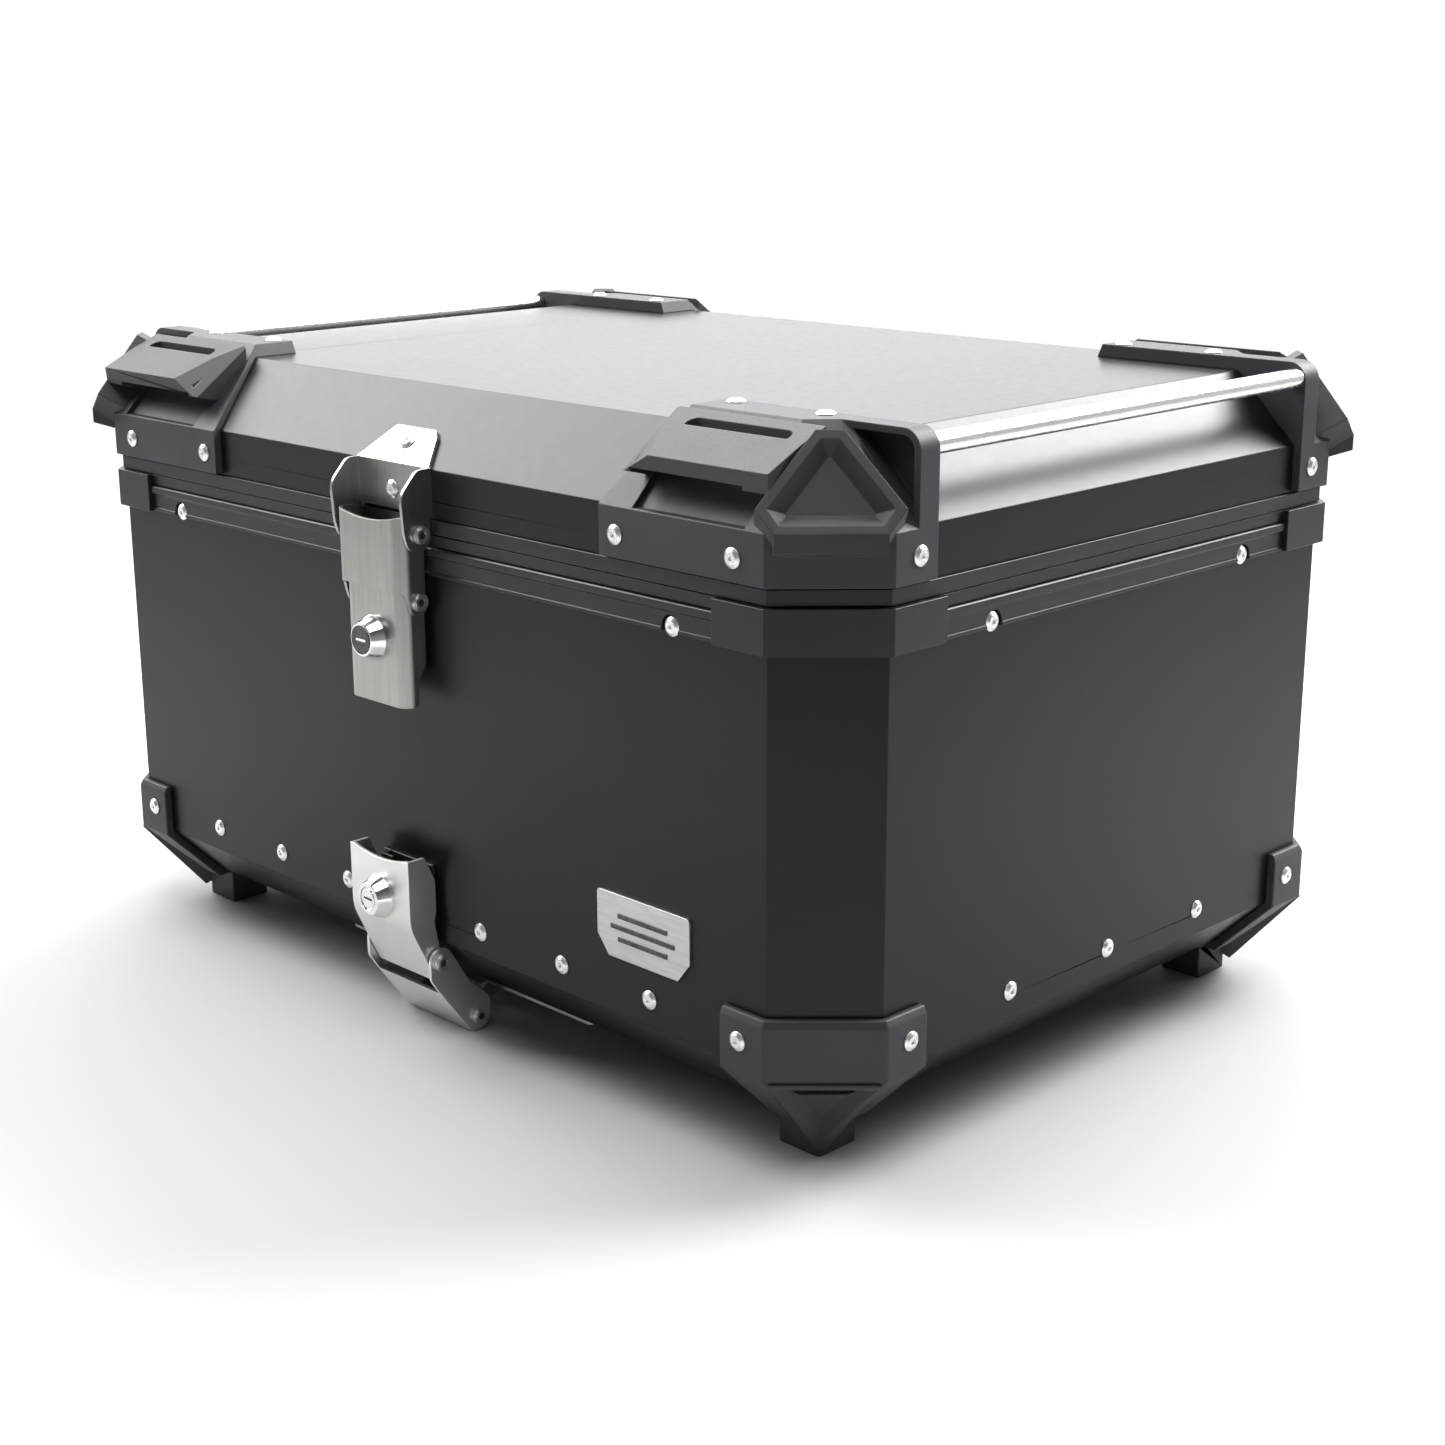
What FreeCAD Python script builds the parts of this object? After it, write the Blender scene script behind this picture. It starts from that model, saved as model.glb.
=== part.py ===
import FreeCAD, Part
import math
import os

import Sketcher

# Motorcycle top case: a folded sheet-metal box with bevelled edges, a hinged lid, moulded corner
# guards with strap loops, two grab rails, a draw latch for the lid and a quick-release latch below.
#
# Frame: +Z up, +X to the case's long side, -Y to the latch side.  The origin is the centre of the
# mounting plate's underside.  All heights below are measured from the floor pan's underside, and
# every sub-part is lifted by the thickness of the mounting plate when it is placed.

DIMENSIONS = {
    # box
    "case_length": 600.0, "case_width": 420.0, "corner_cut": 37.5, "bottom_bevel": 32.0,
    "sheet": 2.0, "wall_top": 246.0, "pan_flange_top": 58.0,
    # rim of the box
    "strip_low": 231.0, "strip_high": 245.6, "strip_depth": 3.0, "wrap_low": 230.5, "wrap_high": 252.0,
    "wrap_depth": 4.5, "wrap_front_reach": 232.0, "wrap_end_reach": 138.5, "rim_depth": 1.0, "rim_shelf": 9.0,
    # lid
    "lid_rim_low": 252.5, "skirt_low": 260.0, "skirt_high": 285.0, "lid_top": 321.0, "lid_slope": 36.0,
    "lid_rim_depth": 1.5, "seal_height": 3.5,
    # lid guards
    "guard_depth": 4.5, "guard_low": 261.0, "guard_top": 328.0, "guard_left": 159.0,
    "guard_left_top": 177.0, "guard_back": 146.5, "arch_front": 159.5, "arch_radius": 10.0,
    "arch_web": 3.5, "arch_band": 3.5, "arch_reach": 52.0,
    "bridge_left": 175.0, "bridge_right": 268.0, "bridge_back": 179.5, "bridge_front": 216.0,
    "bridge_brow_left": 194.0, "bridge_tip_left": 178.5, "bridge_ridge": 195.5,
    "bridge_ridge_height": 321.5, "bridge_brow_height": 311.5, "bridge_lip_height": 302.5,
    "loop_left": 181.0, "loop_right": 252.0, "bridge_wall": 4.5,
    "slot_left": 193.0, "slot_right": 257.0, "slot_front": 192.5, "slot_back": 186.0,
    # corner bumper of a lid guard
    "bumper_out": 18.0, "bumper_base": 287.0, "bumper_apex_back": 25.0, "bumper_rise": 41.2,
    "bumper_base_half": 24.5, "bumper_side_half": 32.5, "bumper_apex_half": 6.2, "bumper_side_up": 12.0,
    "bumper_frame": 4.2, "bumper_bevel": 6.5, "bumper_sink": 5.0, "chin_drop": 8.0,
    # bottom guards
    "shoe_depth": 5.0, "shoe_front_reach": 237.0, "shoe_end_reach": 147.0, "shoe_top": 60.0,
    "shoe_chamfer": 3.6, "foot_size": 26.0, "foot_corner_length": 261.0, "foot_corner_width": 172.0,
    "foot_low": -24.0, "toe_top_out": 6.5, "toe_top": 29.0, "toe_low": -18.0, "toe_tip_out": -25.5, "toe_half": 26.5,
    "toe_tip_half": 2.5, "toe_frame": 3.4, "toe_recess_tip": 13.0, "toe_bevel": 5.0, "toe_sink": 4.5,
    # rails
    "rail_radius": 5.0, "rail_spigot": 3.0, "rail_offset": 298.8, "rail_height": 319.8,
    # rivets
    "rivet_head": 4.8, "rivet_shank": 2.4, "rivet_hole": 2.5, "rivet_rise": 1.7,
    "rim_rivet_front": 203.0, "rim_rivet_end": 102.0, "rim_rivet_height": 233.6,
    "shoe_rivet_front": 249.0, "shoe_rivet_end": 158.5,
    "row_height": 46.0, "row_pitch": 63.75, "row_shift": 25.6, "row_end_pitch": 79.0,
    # hinge
    "hinge_half": 149.0, "hinge_axis_back": 217.0, "hinge_axis_height": 252.3, "hinge_knuckle": 4.5,
    "hinge_pin": 2.5, "hinge_pin_hole": 2.55, "hinge_leaf": 3.0, "hinge_knuckles": 9.0,
    # upper latch
    "plate": 2.0, "bracket_half": 30.0, "link_half": 27.0, "handle_half": 24.4, "bracket_slope_up": 22.0,
    "upper_pin_height": 253.2, "upper_pin_out": 218.8, "link_pin_height": 218.2,
    "link_front": 230.0, "handle_front": 227.7, "upper_handle_low": 162.5, "upper_lock_height": 197.0,
    "latch_pin": 3.0, "latch_pin_hole": 3.06, "pin_head": 4.6, "fold_radius": 7.0,
    # lower latch
    "lower_handle_top": 81.0, "lower_handle_half": 25.0, "lower_front": 231.0, "lower_bend": 44.5,
    "lower_tail_out": 214.8, "lower_tail": 10.0, "lever_half": 28.0, "lever_pin_out": 213.8,
    "lever_pin_height": 22.0, "foot_pin_out": 189.5, "foot_pin_height": -15.5, "lever_end_radius": 8.0,
    "lever_web_out": 214.8, "lever_web_top": 4.0, "lever_web_low_out": 194.5, "lower_lock_height": 57.0,
    # locks
    "lock_base": 12.0, "lock_face": 8.3, "lock_rise": 8.5, "plug_radius": 6.4, "plug_hole": 6.46,
    "cam_stem": 4.0, "cam_length": 10.0, "key_slot_length": 8.6, "key_slot_width": 1.7, "key_slot_depth": 3.0,
    # keepers
    "keeper_out": 8.0, "keeper_half": 21.0, "keeper_wall": 13.5, "keeper_lip": 5.6, "keeper_height": 34.0,
    # mounting plate
    "floor_plate": 3.0, "floor_plate_half": 104.0, "floor_plate_front": 176.0, "floor_plate_back": 150.0,
    "rack_bolt_radius": 3.3, "rack_spacing_length": 160.0, "rack_spacing_width": 220.0,
    "hook_half": 35.0, "hook_plate": 4.0, "hook_drop": 15.0, "hook_reach": 45.0,
    # name plate
    "badge_left": 150.0, "badge_right": 214.0, "badge_low": 62.0, "badge_high": 99.0, "badge_depth": 1.6,
}

doc = FreeCAD.newDocument("top_case")
sheet = doc.addObject("Spreadsheet::Sheet", "Sizes")
for row, (alias, value) in enumerate(DIMENSIONS.items(), start=1):
    sheet.set(f"A{row}", alias)
    sheet.set(f"B{row}", repr(value))
    sheet.setAlias(f"B{row}", alias)
doc.recompute()


class Size:
    """A length with its value in millimetres and its formula in the spreadsheet's names."""

    def __init__(self, value, formula):
        self.value, self.formula = value, formula

    def _combine(self, other, sign, value, swap=False):
        left, right = (size(other), self) if swap else (self, size(other))
        return Size(value(left.value, right.value), f"({left.formula} {sign} {right.formula})")

    def __add__(self, other):
        return self._combine(other, "+", lambda a, b: a + b)

    def __radd__(self, other):
        return self._combine(other, "+", lambda a, b: a + b, swap=True)

    def __sub__(self, other):
        return self._combine(other, "-", lambda a, b: a - b)

    def __rsub__(self, other):
        return self._combine(other, "-", lambda a, b: a - b, swap=True)

    def __mul__(self, other):
        return self._combine(other, "*", lambda a, b: a * b)

    __rmul__ = __mul__

    def __truediv__(self, other):
        return self._combine(other, "/", lambda a, b: a / b)

    def __neg__(self):
        return Size(-self.value, f"(0 - {self.formula})")


def size(value):
    return value if isinstance(value, Size) else Size(float(value), f"({float(value)!r})")


S = type("Sizes", (), {alias: Size(value, f"Sizes.{alias}") for alias, value in DIMENSIONS.items()})

HALF_X = S.case_length / 2
HALF_Y = S.case_width / 2
LIFT = S.floor_plate
MITRE = 2 - math.sqrt(2)
DIAGONAL = math.sqrt(0.5)


def vector(x, y, z):
    return FreeCAD.Vector(size(x).value, size(y).value, size(z).value)


# ---------------------------------------------------------------------------------------------
# building blocks
# ---------------------------------------------------------------------------------------------

def bind(thing, path, value):
    thing.setExpression(path, size(value).formula)


def body(name):
    return doc.addObject("PartDesign::Body", name)


def place(thing, x=0, y=0, z=0, axis=(0, 0, 1), angle=0.0):
    """Place a sub-part: its own offset, lifted by the mounting plate's thickness."""
    turn = FreeCAD.Rotation(FreeCAD.Vector(*axis), angle)
    thing.Placement = FreeCAD.Placement(vector(x, y, LIFT + z), turn)
    for letter, value in (("x", size(x)), ("y", size(y)), ("z", LIFT + z)):
        bind(thing, f"Placement.Base.{letter}", value)
    return thing


def rounded(corners):
    """Split each corner into its point, its radius and where its round starts and ends."""
    points = [(size(c[0]), size(c[1]), c[2] if len(c) > 2 else 0.0) for c in corners]
    result = []
    for i, (x, y, radius) in enumerate(points):
        here = FreeCAD.Vector(x.value, y.value, 0)
        before, after = points[i - 1], points[(i + 1) % len(points)]
        back = FreeCAD.Vector(before[0].value, before[1].value, 0) - here
        ahead = FreeCAD.Vector(after[0].value, after[1].value, 0) - here
        turn = back.getAngle(ahead)
        reach = size(radius).value / math.tan(turn / 2)
        start = here + back.normalize() * reach
        end = here + ahead.normalize() * reach
        centre = here + (back + ahead).normalize() * (size(radius).value / math.sin(turn / 2))
        result.append((x, y, radius, here, start, end, centre))
    return result


def sketch_on(owner, plane, offset):
    sketch = owner.newObject("Sketcher::SketchObject", "Outline")
    origin_plane = [f for f in owner.Origin.OriginFeatures if f.Role == f"{plane}_Plane"][0]
    sketch.AttachmentSupport = [(origin_plane, "")]
    sketch.MapMode = "FlatFace"
    sketch.AttachmentOffset = FreeCAD.Placement(FreeCAD.Vector(0, 0, size(offset).value), FreeCAD.Rotation())
    bind(sketch, "AttachmentOffset.Base.z", offset)
    return sketch


def fix_point(sketch, geometry, end, x, y):
    for kind, value in (("DistanceX", size(x)), ("DistanceY", size(y))):
        index = sketch.addConstraint(Sketcher.Constraint(kind, -1, 1, geometry, end, value.value))
        bind(sketch, f"Constraints[{index}]", value)


def outline(owner, plane, offset, corners):
    """A closed outline of straight runs.  A corner is (x, y) or (x, y, radius)."""
    sketch = sketch_on(owner, plane, offset)
    marks = rounded(corners)
    count = len(marks)
    lines = []
    for i in range(count):
        lines.append(sketch.addGeometry(Part.LineSegment(marks[i][5], marks[(i + 1) % count][4])))
    for i, (x, y, radius, here, start, end, centre) in enumerate(marks):
        before, after = lines[i - 1], lines[i]
        if not size(radius).value:
            sketch.addConstraint(Sketcher.Constraint("Coincident", before, 2, after, 1))
            fix_point(sketch, after, 1, x, y)
            continue
        middle = centre + (here - centre).normalize() * size(radius).value
        arc = Part.Arc(start, middle, end)
        turns_left = (start - centre).cross(end - centre).z > 0
        arc_id = sketch.addGeometry(arc)
        first, last = (1, 2) if turns_left else (2, 1)
        corner = sketch.addGeometry(Part.Point(here), True)
        fix_point(sketch, corner, 1, x, y)
        sketch.addConstraint(Sketcher.Constraint("PointOnObject", corner, 1, before))
        sketch.addConstraint(Sketcher.Constraint("PointOnObject", corner, 1, after))
        sketch.addConstraint(Sketcher.Constraint("Tangent", before, 2, arc_id, first))
        sketch.addConstraint(Sketcher.Constraint("Tangent", after, 1, arc_id, last))
        index = sketch.addConstraint(Sketcher.Constraint("Radius", arc_id, size(radius).value))
        bind(sketch, f"Constraints[{index}]", radius)
    return sketch


def circle(owner, plane, offset, x, y, radius):
    sketch = sketch_on(owner, plane, offset)
    centre = FreeCAD.Vector(size(x).value, size(y).value, 0)
    ring = sketch.addGeometry(Part.Circle(centre, FreeCAD.Vector(0, 0, 1), size(radius).value))
    fix_point(sketch, ring, 3, x, y)
    index = sketch.addConstraint(Sketcher.Constraint("Radius", ring, size(radius).value))
    bind(sketch, f"Constraints[{index}]", radius)
    return sketch


def start_plane(plane, low, high, cutting):
    """Where a sketch sits so that the feature fills low to high along the plane's axis."""
    if plane == "XZ":
        return -low if cutting else -high
    return high if cutting else low


def extrude(owner, plane, low, high, corners=None, round_at=None, cut=False):
    """Add or cut a prism between low and high along the axis that the plane doesn't hold."""
    low, high = size(low), size(high)
    offset = start_plane(plane, low, high, cut)
    if corners:
        sketch = outline(owner, plane, offset, corners)
    else:
        sketch = circle(owner, plane, offset, *round_at)
    feature = owner.newObject("PartDesign::Pocket" if cut else "PartDesign::Pad", "Cut" if cut else "Fill")
    feature.Profile = sketch
    feature.Length = high.value - low.value
    bind(feature, "Length", high - low)
    doc.recompute()
    return owner


def loft(owner, sections, cut=False, plane="XY"):
    """Add or cut a straight-sided loft through outlines, each (offset, corners)."""
    sketches = [outline(owner, plane, offset, corners) for offset, corners in sections]
    feature = owner.newObject("PartDesign::SubtractiveLoft" if cut else "PartDesign::AdditiveLoft", "Loft")
    feature.Profile = sketches[0]
    feature.Sections = sketches[1:]
    feature.Ruled = True
    doc.recompute()
    return owner


def revolve(owner, corners):
    """A solid of revolution about the body's own Z axis.  Corners are (radius, height)."""
    sketch = outline(owner, "XZ", 0, corners)
    feature = owner.newObject("PartDesign::Revolution", "Turned")
    feature.Profile = sketch
    feature.ReferenceAxis = (sketch, ["V_Axis"])
    feature.Angle = 360
    doc.recompute()
    return owner


def box(owner, low, high, cut=False):
    corners = [(low[0], low[1]), (high[0], low[1]), (high[0], high[1]), (low[0], high[1])]
    return extrude(owner, "XY", low[2], high[2], corners, cut=cut)


def boolean(kind, name, *parts):
    result = doc.addObject(f"Part::{kind}", name)
    if kind in ("Cut", "Common"):
        result.Base, result.Tool = parts
    else:
        result.Shapes = list(parts)
    doc.recompute()
    return result


def mirrored(name, source, normal):
    result = doc.addObject("Part::Mirroring", name)
    result.Source = source
    result.Base = (0, 0, 0)
    result.Normal = normal
    doc.recompute()
    return result


nodes = []


def node(name, thing):
    """Mark a finished sub-part, whose Label names its file."""
    thing.Label = name
    nodes.append(thing)
    return thing


# ---------------------------------------------------------------------------------------------
# outlines of the case
# ---------------------------------------------------------------------------------------------

def octagon(inset):
    """The case's plan, moved inwards by inset, with its corner faces moved by the same distance."""
    x, y = HALF_X - inset, HALF_Y - inset
    cut = S.corner_cut - size(inset) * MITRE
    return [(x - cut, -y), (x, cut - y), (x, y - cut), (x - cut, y),
            (cut - x, y), (-x, y - cut), (-x, cut - y), (cut - x, -y)]


def pan_sections(skin):
    """Floor and bevel of the box, moved inwards by the skin's thickness."""
    shift = size(skin) * (math.sqrt(2) - 1)
    return [(size(skin), octagon(S.bottom_bevel + shift)), (S.bottom_bevel + shift, octagon(skin))]


def lid_sections(skin):
    """Slopes of the lid, moved inwards by the skin's thickness."""
    shift = size(skin) * (math.sqrt(2) - 1)
    return [(S.skirt_high - shift, octagon(skin)), (S.lid_top - skin, octagon(S.lid_slope + shift))]


def ring(owner, low, high, outer, inner):
    extrude(owner, "XY", low, high, octagon(outer))
    return extrude(owner, "XY", low, high, octagon(inner), cut=True)


def solid_box(name, skin):
    """The box's outer form as one solid, used to trim what lies on it."""
    form = body(name)
    loft(form, pan_sections(skin))
    extrude(form, "XY", pan_sections(skin)[1][0], S.wall_top, octagon(skin))
    return place(form)


def solid_lid(name, skin):
    form = body(name)
    extrude(form, "XY", S.skirt_low, lid_sections(skin)[0][0], octagon(skin))
    loft(form, lid_sections(skin))
    return place(form)


# ---------------------------------------------------------------------------------------------
# rivets: one turned body for each grip, copied to its places
# ---------------------------------------------------------------------------------------------

OUTWARD = {"front": (0, -1, 0), "back": (0, 1, 0), "left": (-1, 0, 0), "right": (1, 0, 0),
           "up": (0, 0, 1), "down": (0, 0, -1), "slope": (0, -1, 1)}
TAIL = 3.0
DIMPLE = 1.4


def rivet_form(grip):
    """Blind rivet on its own Z axis: flat underside of the head at zero, grip below it."""
    form = body("rivet_form")
    head, shank, rise = S.rivet_head, S.rivet_shank, S.rivet_rise
    revolve(form, [(0, -(size(grip) + TAIL)), (shank, -(size(grip) + TAIL)), (shank, 0), (head, 0), (head, 0.5),
                   (head * 0.62, rise), (DIMPLE, rise), (DIMPLE, rise - 0.9), (0, rise - 0.9)])
    return form


def stand(shape, point, direction):
    """A copy of a shape whose Z axis points along direction, at a point."""
    turn = FreeCAD.Rotation(FreeCAD.Vector(0, 0, 1), FreeCAD.Vector(*direction))
    copy = shape.copy()
    copy.Placement = FreeCAD.Placement(point + FreeCAD.Vector(0, 0, LIFT.value), turn)
    return copy


def group(name, shapes):
    feature = doc.addObject("Part::Feature", name)
    feature.Shape = Part.makeCompound(shapes)
    return feature


def rivets(name, grip, places):
    """A node of rivets.  Places are (side, point)."""
    form = rivet_form(grip)
    return node(name, group(name, [stand(form.Shape, vector(*point), OUTWARD[side]) for side, point in places]))


def rivet_holes(places):
    """Cylinders that clear the shanks of the rivets at these places."""
    reach = 40.0
    hole = Part.makeCylinder(S.rivet_hole.value, reach, FreeCAD.Vector(0, 0, -reach / 2))
    return group("rivet_holes", [stand(hole, vector(*point), OUTWARD[side]) for side, point in places])


def four_ways(side, x, y, z):
    """The places of one fastener on each of the four mirrored corners."""
    flipped = {"front": "back", "right": "left"}
    result = []
    for sign_x in (1, -1):
        for sign_y in (1, -1):
            face = side
            if side == "front" and sign_y > 0 or side == "right" and sign_x < 0:
                face = flipped[side]
            result.append((face, (size(x) * sign_x, size(y) * sign_y, z)))
    return result


def row_places():
    """The row of rivets that joins the walls to the floor pan."""
    places = []
    for k in (-2.5, -1.5, -0.5, 0.5, 1.5, 2.5):
        x = S.row_pitch * k + S.row_shift * (1 if k > 0 else -1)
        places += [("front", (x, -HALF_Y, S.row_height)), ("back", (x, HALF_Y, S.row_height))]
    for k in (-1, 0, 1):
        y = S.row_end_pitch * k
        places += [("right", (HALF_X, y, S.row_height)), ("left", (-HALF_X, y, S.row_height))]
    return places


# ---------------------------------------------------------------------------------------------
# box: floor pan, walls, rim
# ---------------------------------------------------------------------------------------------

BOLT_X, BOLT_Y = S.rack_spacing_length / 2, S.rack_spacing_width / 2


def bolt_holes(owner, low, high):
    for x in (-BOLT_X, BOLT_X):
        for y in (-BOLT_Y, BOLT_Y):
            extrude(owner, "XY", low, high, round_at=(x, y, S.rack_bolt_radius), cut=True)
    return owner


def floor_pan(holes):
    """Bevelled floor with an upright flange that stands inside the walls."""
    pan = body("pan_form")
    loft(pan, [(0, octagon(S.bottom_bevel)), (S.bottom_bevel, octagon(0))])
    loft(pan, pan_sections(S.sheet), cut=True)
    inner = pan_sections(S.sheet)[1][0]
    extrude(pan, "XY", inner, S.bottom_bevel + 1.0, octagon(S.sheet), cut=True)
    flange = body("pan_flange")
    ring(flange, S.bottom_bevel - S.sheet, S.pan_flange_top, S.sheet, S.sheet * 2)
    bolt_holes(pan, -1, S.sheet + 1)
    whole = boolean("MultiFuse", "pan_whole", place(pan), place(flange))
    return node("floor_pan", boolean("Cut", "floor_pan", whole, holes))


def wall_shell(holes):
    walls = body("wall_form")
    ring(walls, S.bottom_bevel, S.wall_top, 0, S.sheet)
    return node("wall_shell", boolean("Cut", "wall_shell", place(walls), holes))


def body_rim():
    """Capping profile on the top edge of the walls."""
    rim = body("rim_cap")
    ring(rim, S.wall_top, S.wrap_high, -S.rim_depth, S.rim_shelf)
    inner = body("rim_inner")
    ring(inner, S.wall_top - S.rim_shelf, S.wall_top, S.sheet, S.sheet + 2.5)
    return node("body_rim", boolean("MultiFuse", "body_rim", place(rim), place(inner)))


def strip_profile(face, outward):
    """Section of a rim strip: a flat band with a thicker rounded top edge."""
    depth = S.strip_depth
    return [(face, S.strip_low), (face + outward * (depth - 0.8), S.strip_low),
            (face + outward * (depth - 0.8), S.strip_low + 1.4), (face + outward * (depth - 1.4), S.strip_low + 2.2),
            (face + outward * (depth - 1.4), S.strip_high - 5), (face + outward * depth, S.strip_high - 4),
            (face + outward * depth, S.strip_high, 1.2), (face, S.strip_high)]


def notch(strip, plane, along, low, high):
    """Arched clearance around a rivet at the strip's lower edge."""
    extrude(strip, plane, low, high, round_at=(along, S.strip_low + 2.6, 5.6), cut=True)


def rim_strips():
    gap = 0.4
    front_end, side_end = S.wrap_front_reach - gap, S.wrap_end_reach - gap
    front = body("rim_strip_front")
    extrude(front, "YZ", -front_end, front_end, strip_profile(-HALF_Y, -1))
    for x in (-S.rim_rivet_front, S.rim_rivet_front):
        notch(front, "XZ", x, -HALF_Y - 6, -HALF_Y)
    node("rim_strip_front", place(front))
    right = body("rim_strip_right")
    extrude(right, "XZ", -side_end, side_end, strip_profile(HALF_X, 1))
    for y in (-S.rim_rivet_end, S.rim_rivet_end):
        notch(right, "YZ", y, HALF_X, HALF_X + 6)
    node("rim_strip_right", place(right))
    node("rim_strip_left", mirrored("rim_strip_left", right, (1, 0, 0)))
    back = body("rim_strip_back_right")
    extrude(back, "YZ", S.hinge_half + 2, front_end, strip_profile(HALF_Y, 1))
    notch(back, "XZ", S.rim_rivet_front, HALF_Y, HALF_Y + 6)
    node("rim_strip_back_right", place(back))
    node("rim_strip_back_left", mirrored("rim_strip_back_left", back, (1, 0, 0)))


def corner_plan(depth, front_reach, end_reach):
    """Plan of a band that wraps the right front corner, from the case's face outwards by depth."""
    x, y, cut = HALF_X, HALF_Y, S.corner_cut
    outer_cut = cut + size(depth) * MITRE
    return [(front_reach, -y), (front_reach, -y - depth), (x + depth - outer_cut, -y - depth),
            (x + depth, outer_cut - y - depth), (x + depth, -end_reach), (x, -end_reach),
            (x, cut - y), (x - cut, -y)]


def four_corners(names, source):
    """The right front sub-part and its three mirror images, each a node of its own."""
    front_left = mirrored(names + "_front_left", source, (1, 0, 0))
    back_right = mirrored(names + "_back_right", source, (0, 1, 0))
    back_left = mirrored(names + "_back_left", front_left, (0, 1, 0))
    node(names + "_front_right", source)
    node(names + "_front_left", front_left)
    node(names + "_back_right", back_right)
    node(names + "_back_left", back_left)


def rim_corners():
    wrap = body("rim_corner")
    extrude(wrap, "XY", S.wrap_low, S.wrap_high, corner_plan(S.wrap_depth, S.wrap_front_reach, S.wrap_end_reach))
    trimmed = boolean("Cut", "rim_corner_trimmed", place(wrap), solid_rim_band())
    four_corners("rim_corner", trimmed)


def solid_rim_band():
    band = body("rim_band")
    extrude(band, "XY", S.wall_top, S.wrap_high, octagon(-S.rim_depth))
    return place(band)


# ---------------------------------------------------------------------------------------------
# bottom guards: a moulded shoe over each lower corner, with a foot
# ---------------------------------------------------------------------------------------------

def shoe_places():
    return (four_ways("front", S.shoe_rivet_front, HALF_Y + S.shoe_depth, S.row_height),
            four_ways("right", HALF_X + S.shoe_depth, S.shoe_rivet_end, S.row_height))


def bottom_guards(case_form, holes):
    depth = S.shoe_depth
    shift = depth * (math.sqrt(2) - 1)
    shoulder = S.shoe_top - S.shoe_chamfer
    form = body("shoe_form")
    loft(form, [(-depth, octagon(S.bottom_bevel - shift)), (S.bottom_bevel - shift, octagon(-depth))])
    extrude(form, "XY", S.bottom_bevel - shift, shoulder, octagon(-depth))
    loft(form, [(shoulder, octagon(-depth)), (S.shoe_top, octagon(S.shoe_chamfer / 2 - depth))])
    region = body("shoe_region")
    box(region, (S.shoe_front_reach, -HALF_Y * 2, -depth), (HALF_X * 2, -S.shoe_end_reach, S.shoe_top))
    shoe = boolean("Common", "shoe_blank", place(form), place(region))

    # foot: a square block with its outer corner standing clear of the floor
    foot = body("foot")
    inner_x, inner_y = S.foot_corner_length - S.foot_size, S.foot_corner_width - S.foot_size
    extrude(foot, "XY", S.foot_low, S.sheet,
            [(inner_x, -S.foot_corner_width), (S.foot_corner_length, -S.foot_corner_width, 2.0),
             (S.foot_corner_length, -inner_y), (inner_x, -inner_y, 3.0)])
    toe, recess = shoe_toe()
    joined = boolean("MultiFuse", "shoe_joined", shoe, place(foot), toe)
    trimmed = boolean("Cut", "shoe_trimmed", joined, case_form)
    sunk = boolean("Cut", "shoe_sunk", trimmed, recess)
    four_corners("bottom_guard", boolean("Cut", "bottom_guard", sunk, holes))


TOE_FACE = math.hypot((S.toe_top - S.toe_low).value, (S.toe_top_out - S.toe_tip_out).value)


def toe_recess(inset):
    """Triangle sunk into the toe's face, point down, moved inwards by inset."""
    top, tip_half = TOE_FACE - S.toe_frame, 1.0
    wide = S.toe_half - S.toe_frame
    lean = (wide - tip_half).value / (top - S.toe_recess_tip).value
    grow = math.hypot(1, lean)
    tip = S.toe_recess_tip + inset * (grow / lean)
    side = wide - inset * (lean + grow)
    return [(-tip_half, tip), (tip_half, tip), (side, top - inset), (-side, top - inset)]


def shoe_toe():
    """Triangular panel from the corner face down to the foot's tip, and the recess sunk into it."""
    lean_out = math.degrees(math.atan2((S.toe_top_out - S.toe_tip_out).value, (S.toe_top - S.toe_low).value))
    slab = body("toe_slab")
    extrude(slab, "XY", -60, 0,
            [(-S.toe_tip_half, 0), (S.toe_tip_half, 0), (S.toe_half, TOE_FACE), (-S.toe_half, TOE_FACE)])
    recess = body("toe_recess")
    loft(recess, [(0.01, toe_recess(size(0))), (-S.toe_sink, toe_recess(S.toe_bevel))])
    for part in (slab, recess):
        stand_on_corner(part, S.toe_tip_out, S.toe_low, 90 + lean_out)
    # the slab is kept only between its face and the case
    side = body("toe_side")
    under = S.toe_tip_out - 10
    extrude(side, "YZ", -S.toe_half * 2, S.toe_half * 2,
            [(-S.toe_top_out - 2, S.toe_top), (-S.toe_top_out - 2, S.toe_low), (-under, S.toe_low),
             (-under, 3), (4, S.toe_top)])
    place(side, HALF_X - S.corner_cut / 2, -HALF_Y + S.corner_cut / 2, 0, angle=45)
    return boolean("Common", "toe", slab, side), recess


def stand_on_corner(thing, out, height, tilt):
    """Stand a panel drawn in XY on the right front corner face: its X along the face, its Y upwards."""
    place(thing, HALF_X - S.corner_cut / 2 + out * DIAGONAL, -HALF_Y + S.corner_cut / 2 - out * DIAGONAL, height)
    turn = FreeCAD.Rotation(FreeCAD.Vector(0, 0, 1), 45) * FreeCAD.Rotation(FreeCAD.Vector(1, 0, 0), tilt)
    thing.Placement = FreeCAD.Placement(thing.Placement.Base, turn)
    return thing


# ---------------------------------------------------------------------------------------------
# lid: shell, rim, seal
# ---------------------------------------------------------------------------------------------

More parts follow.
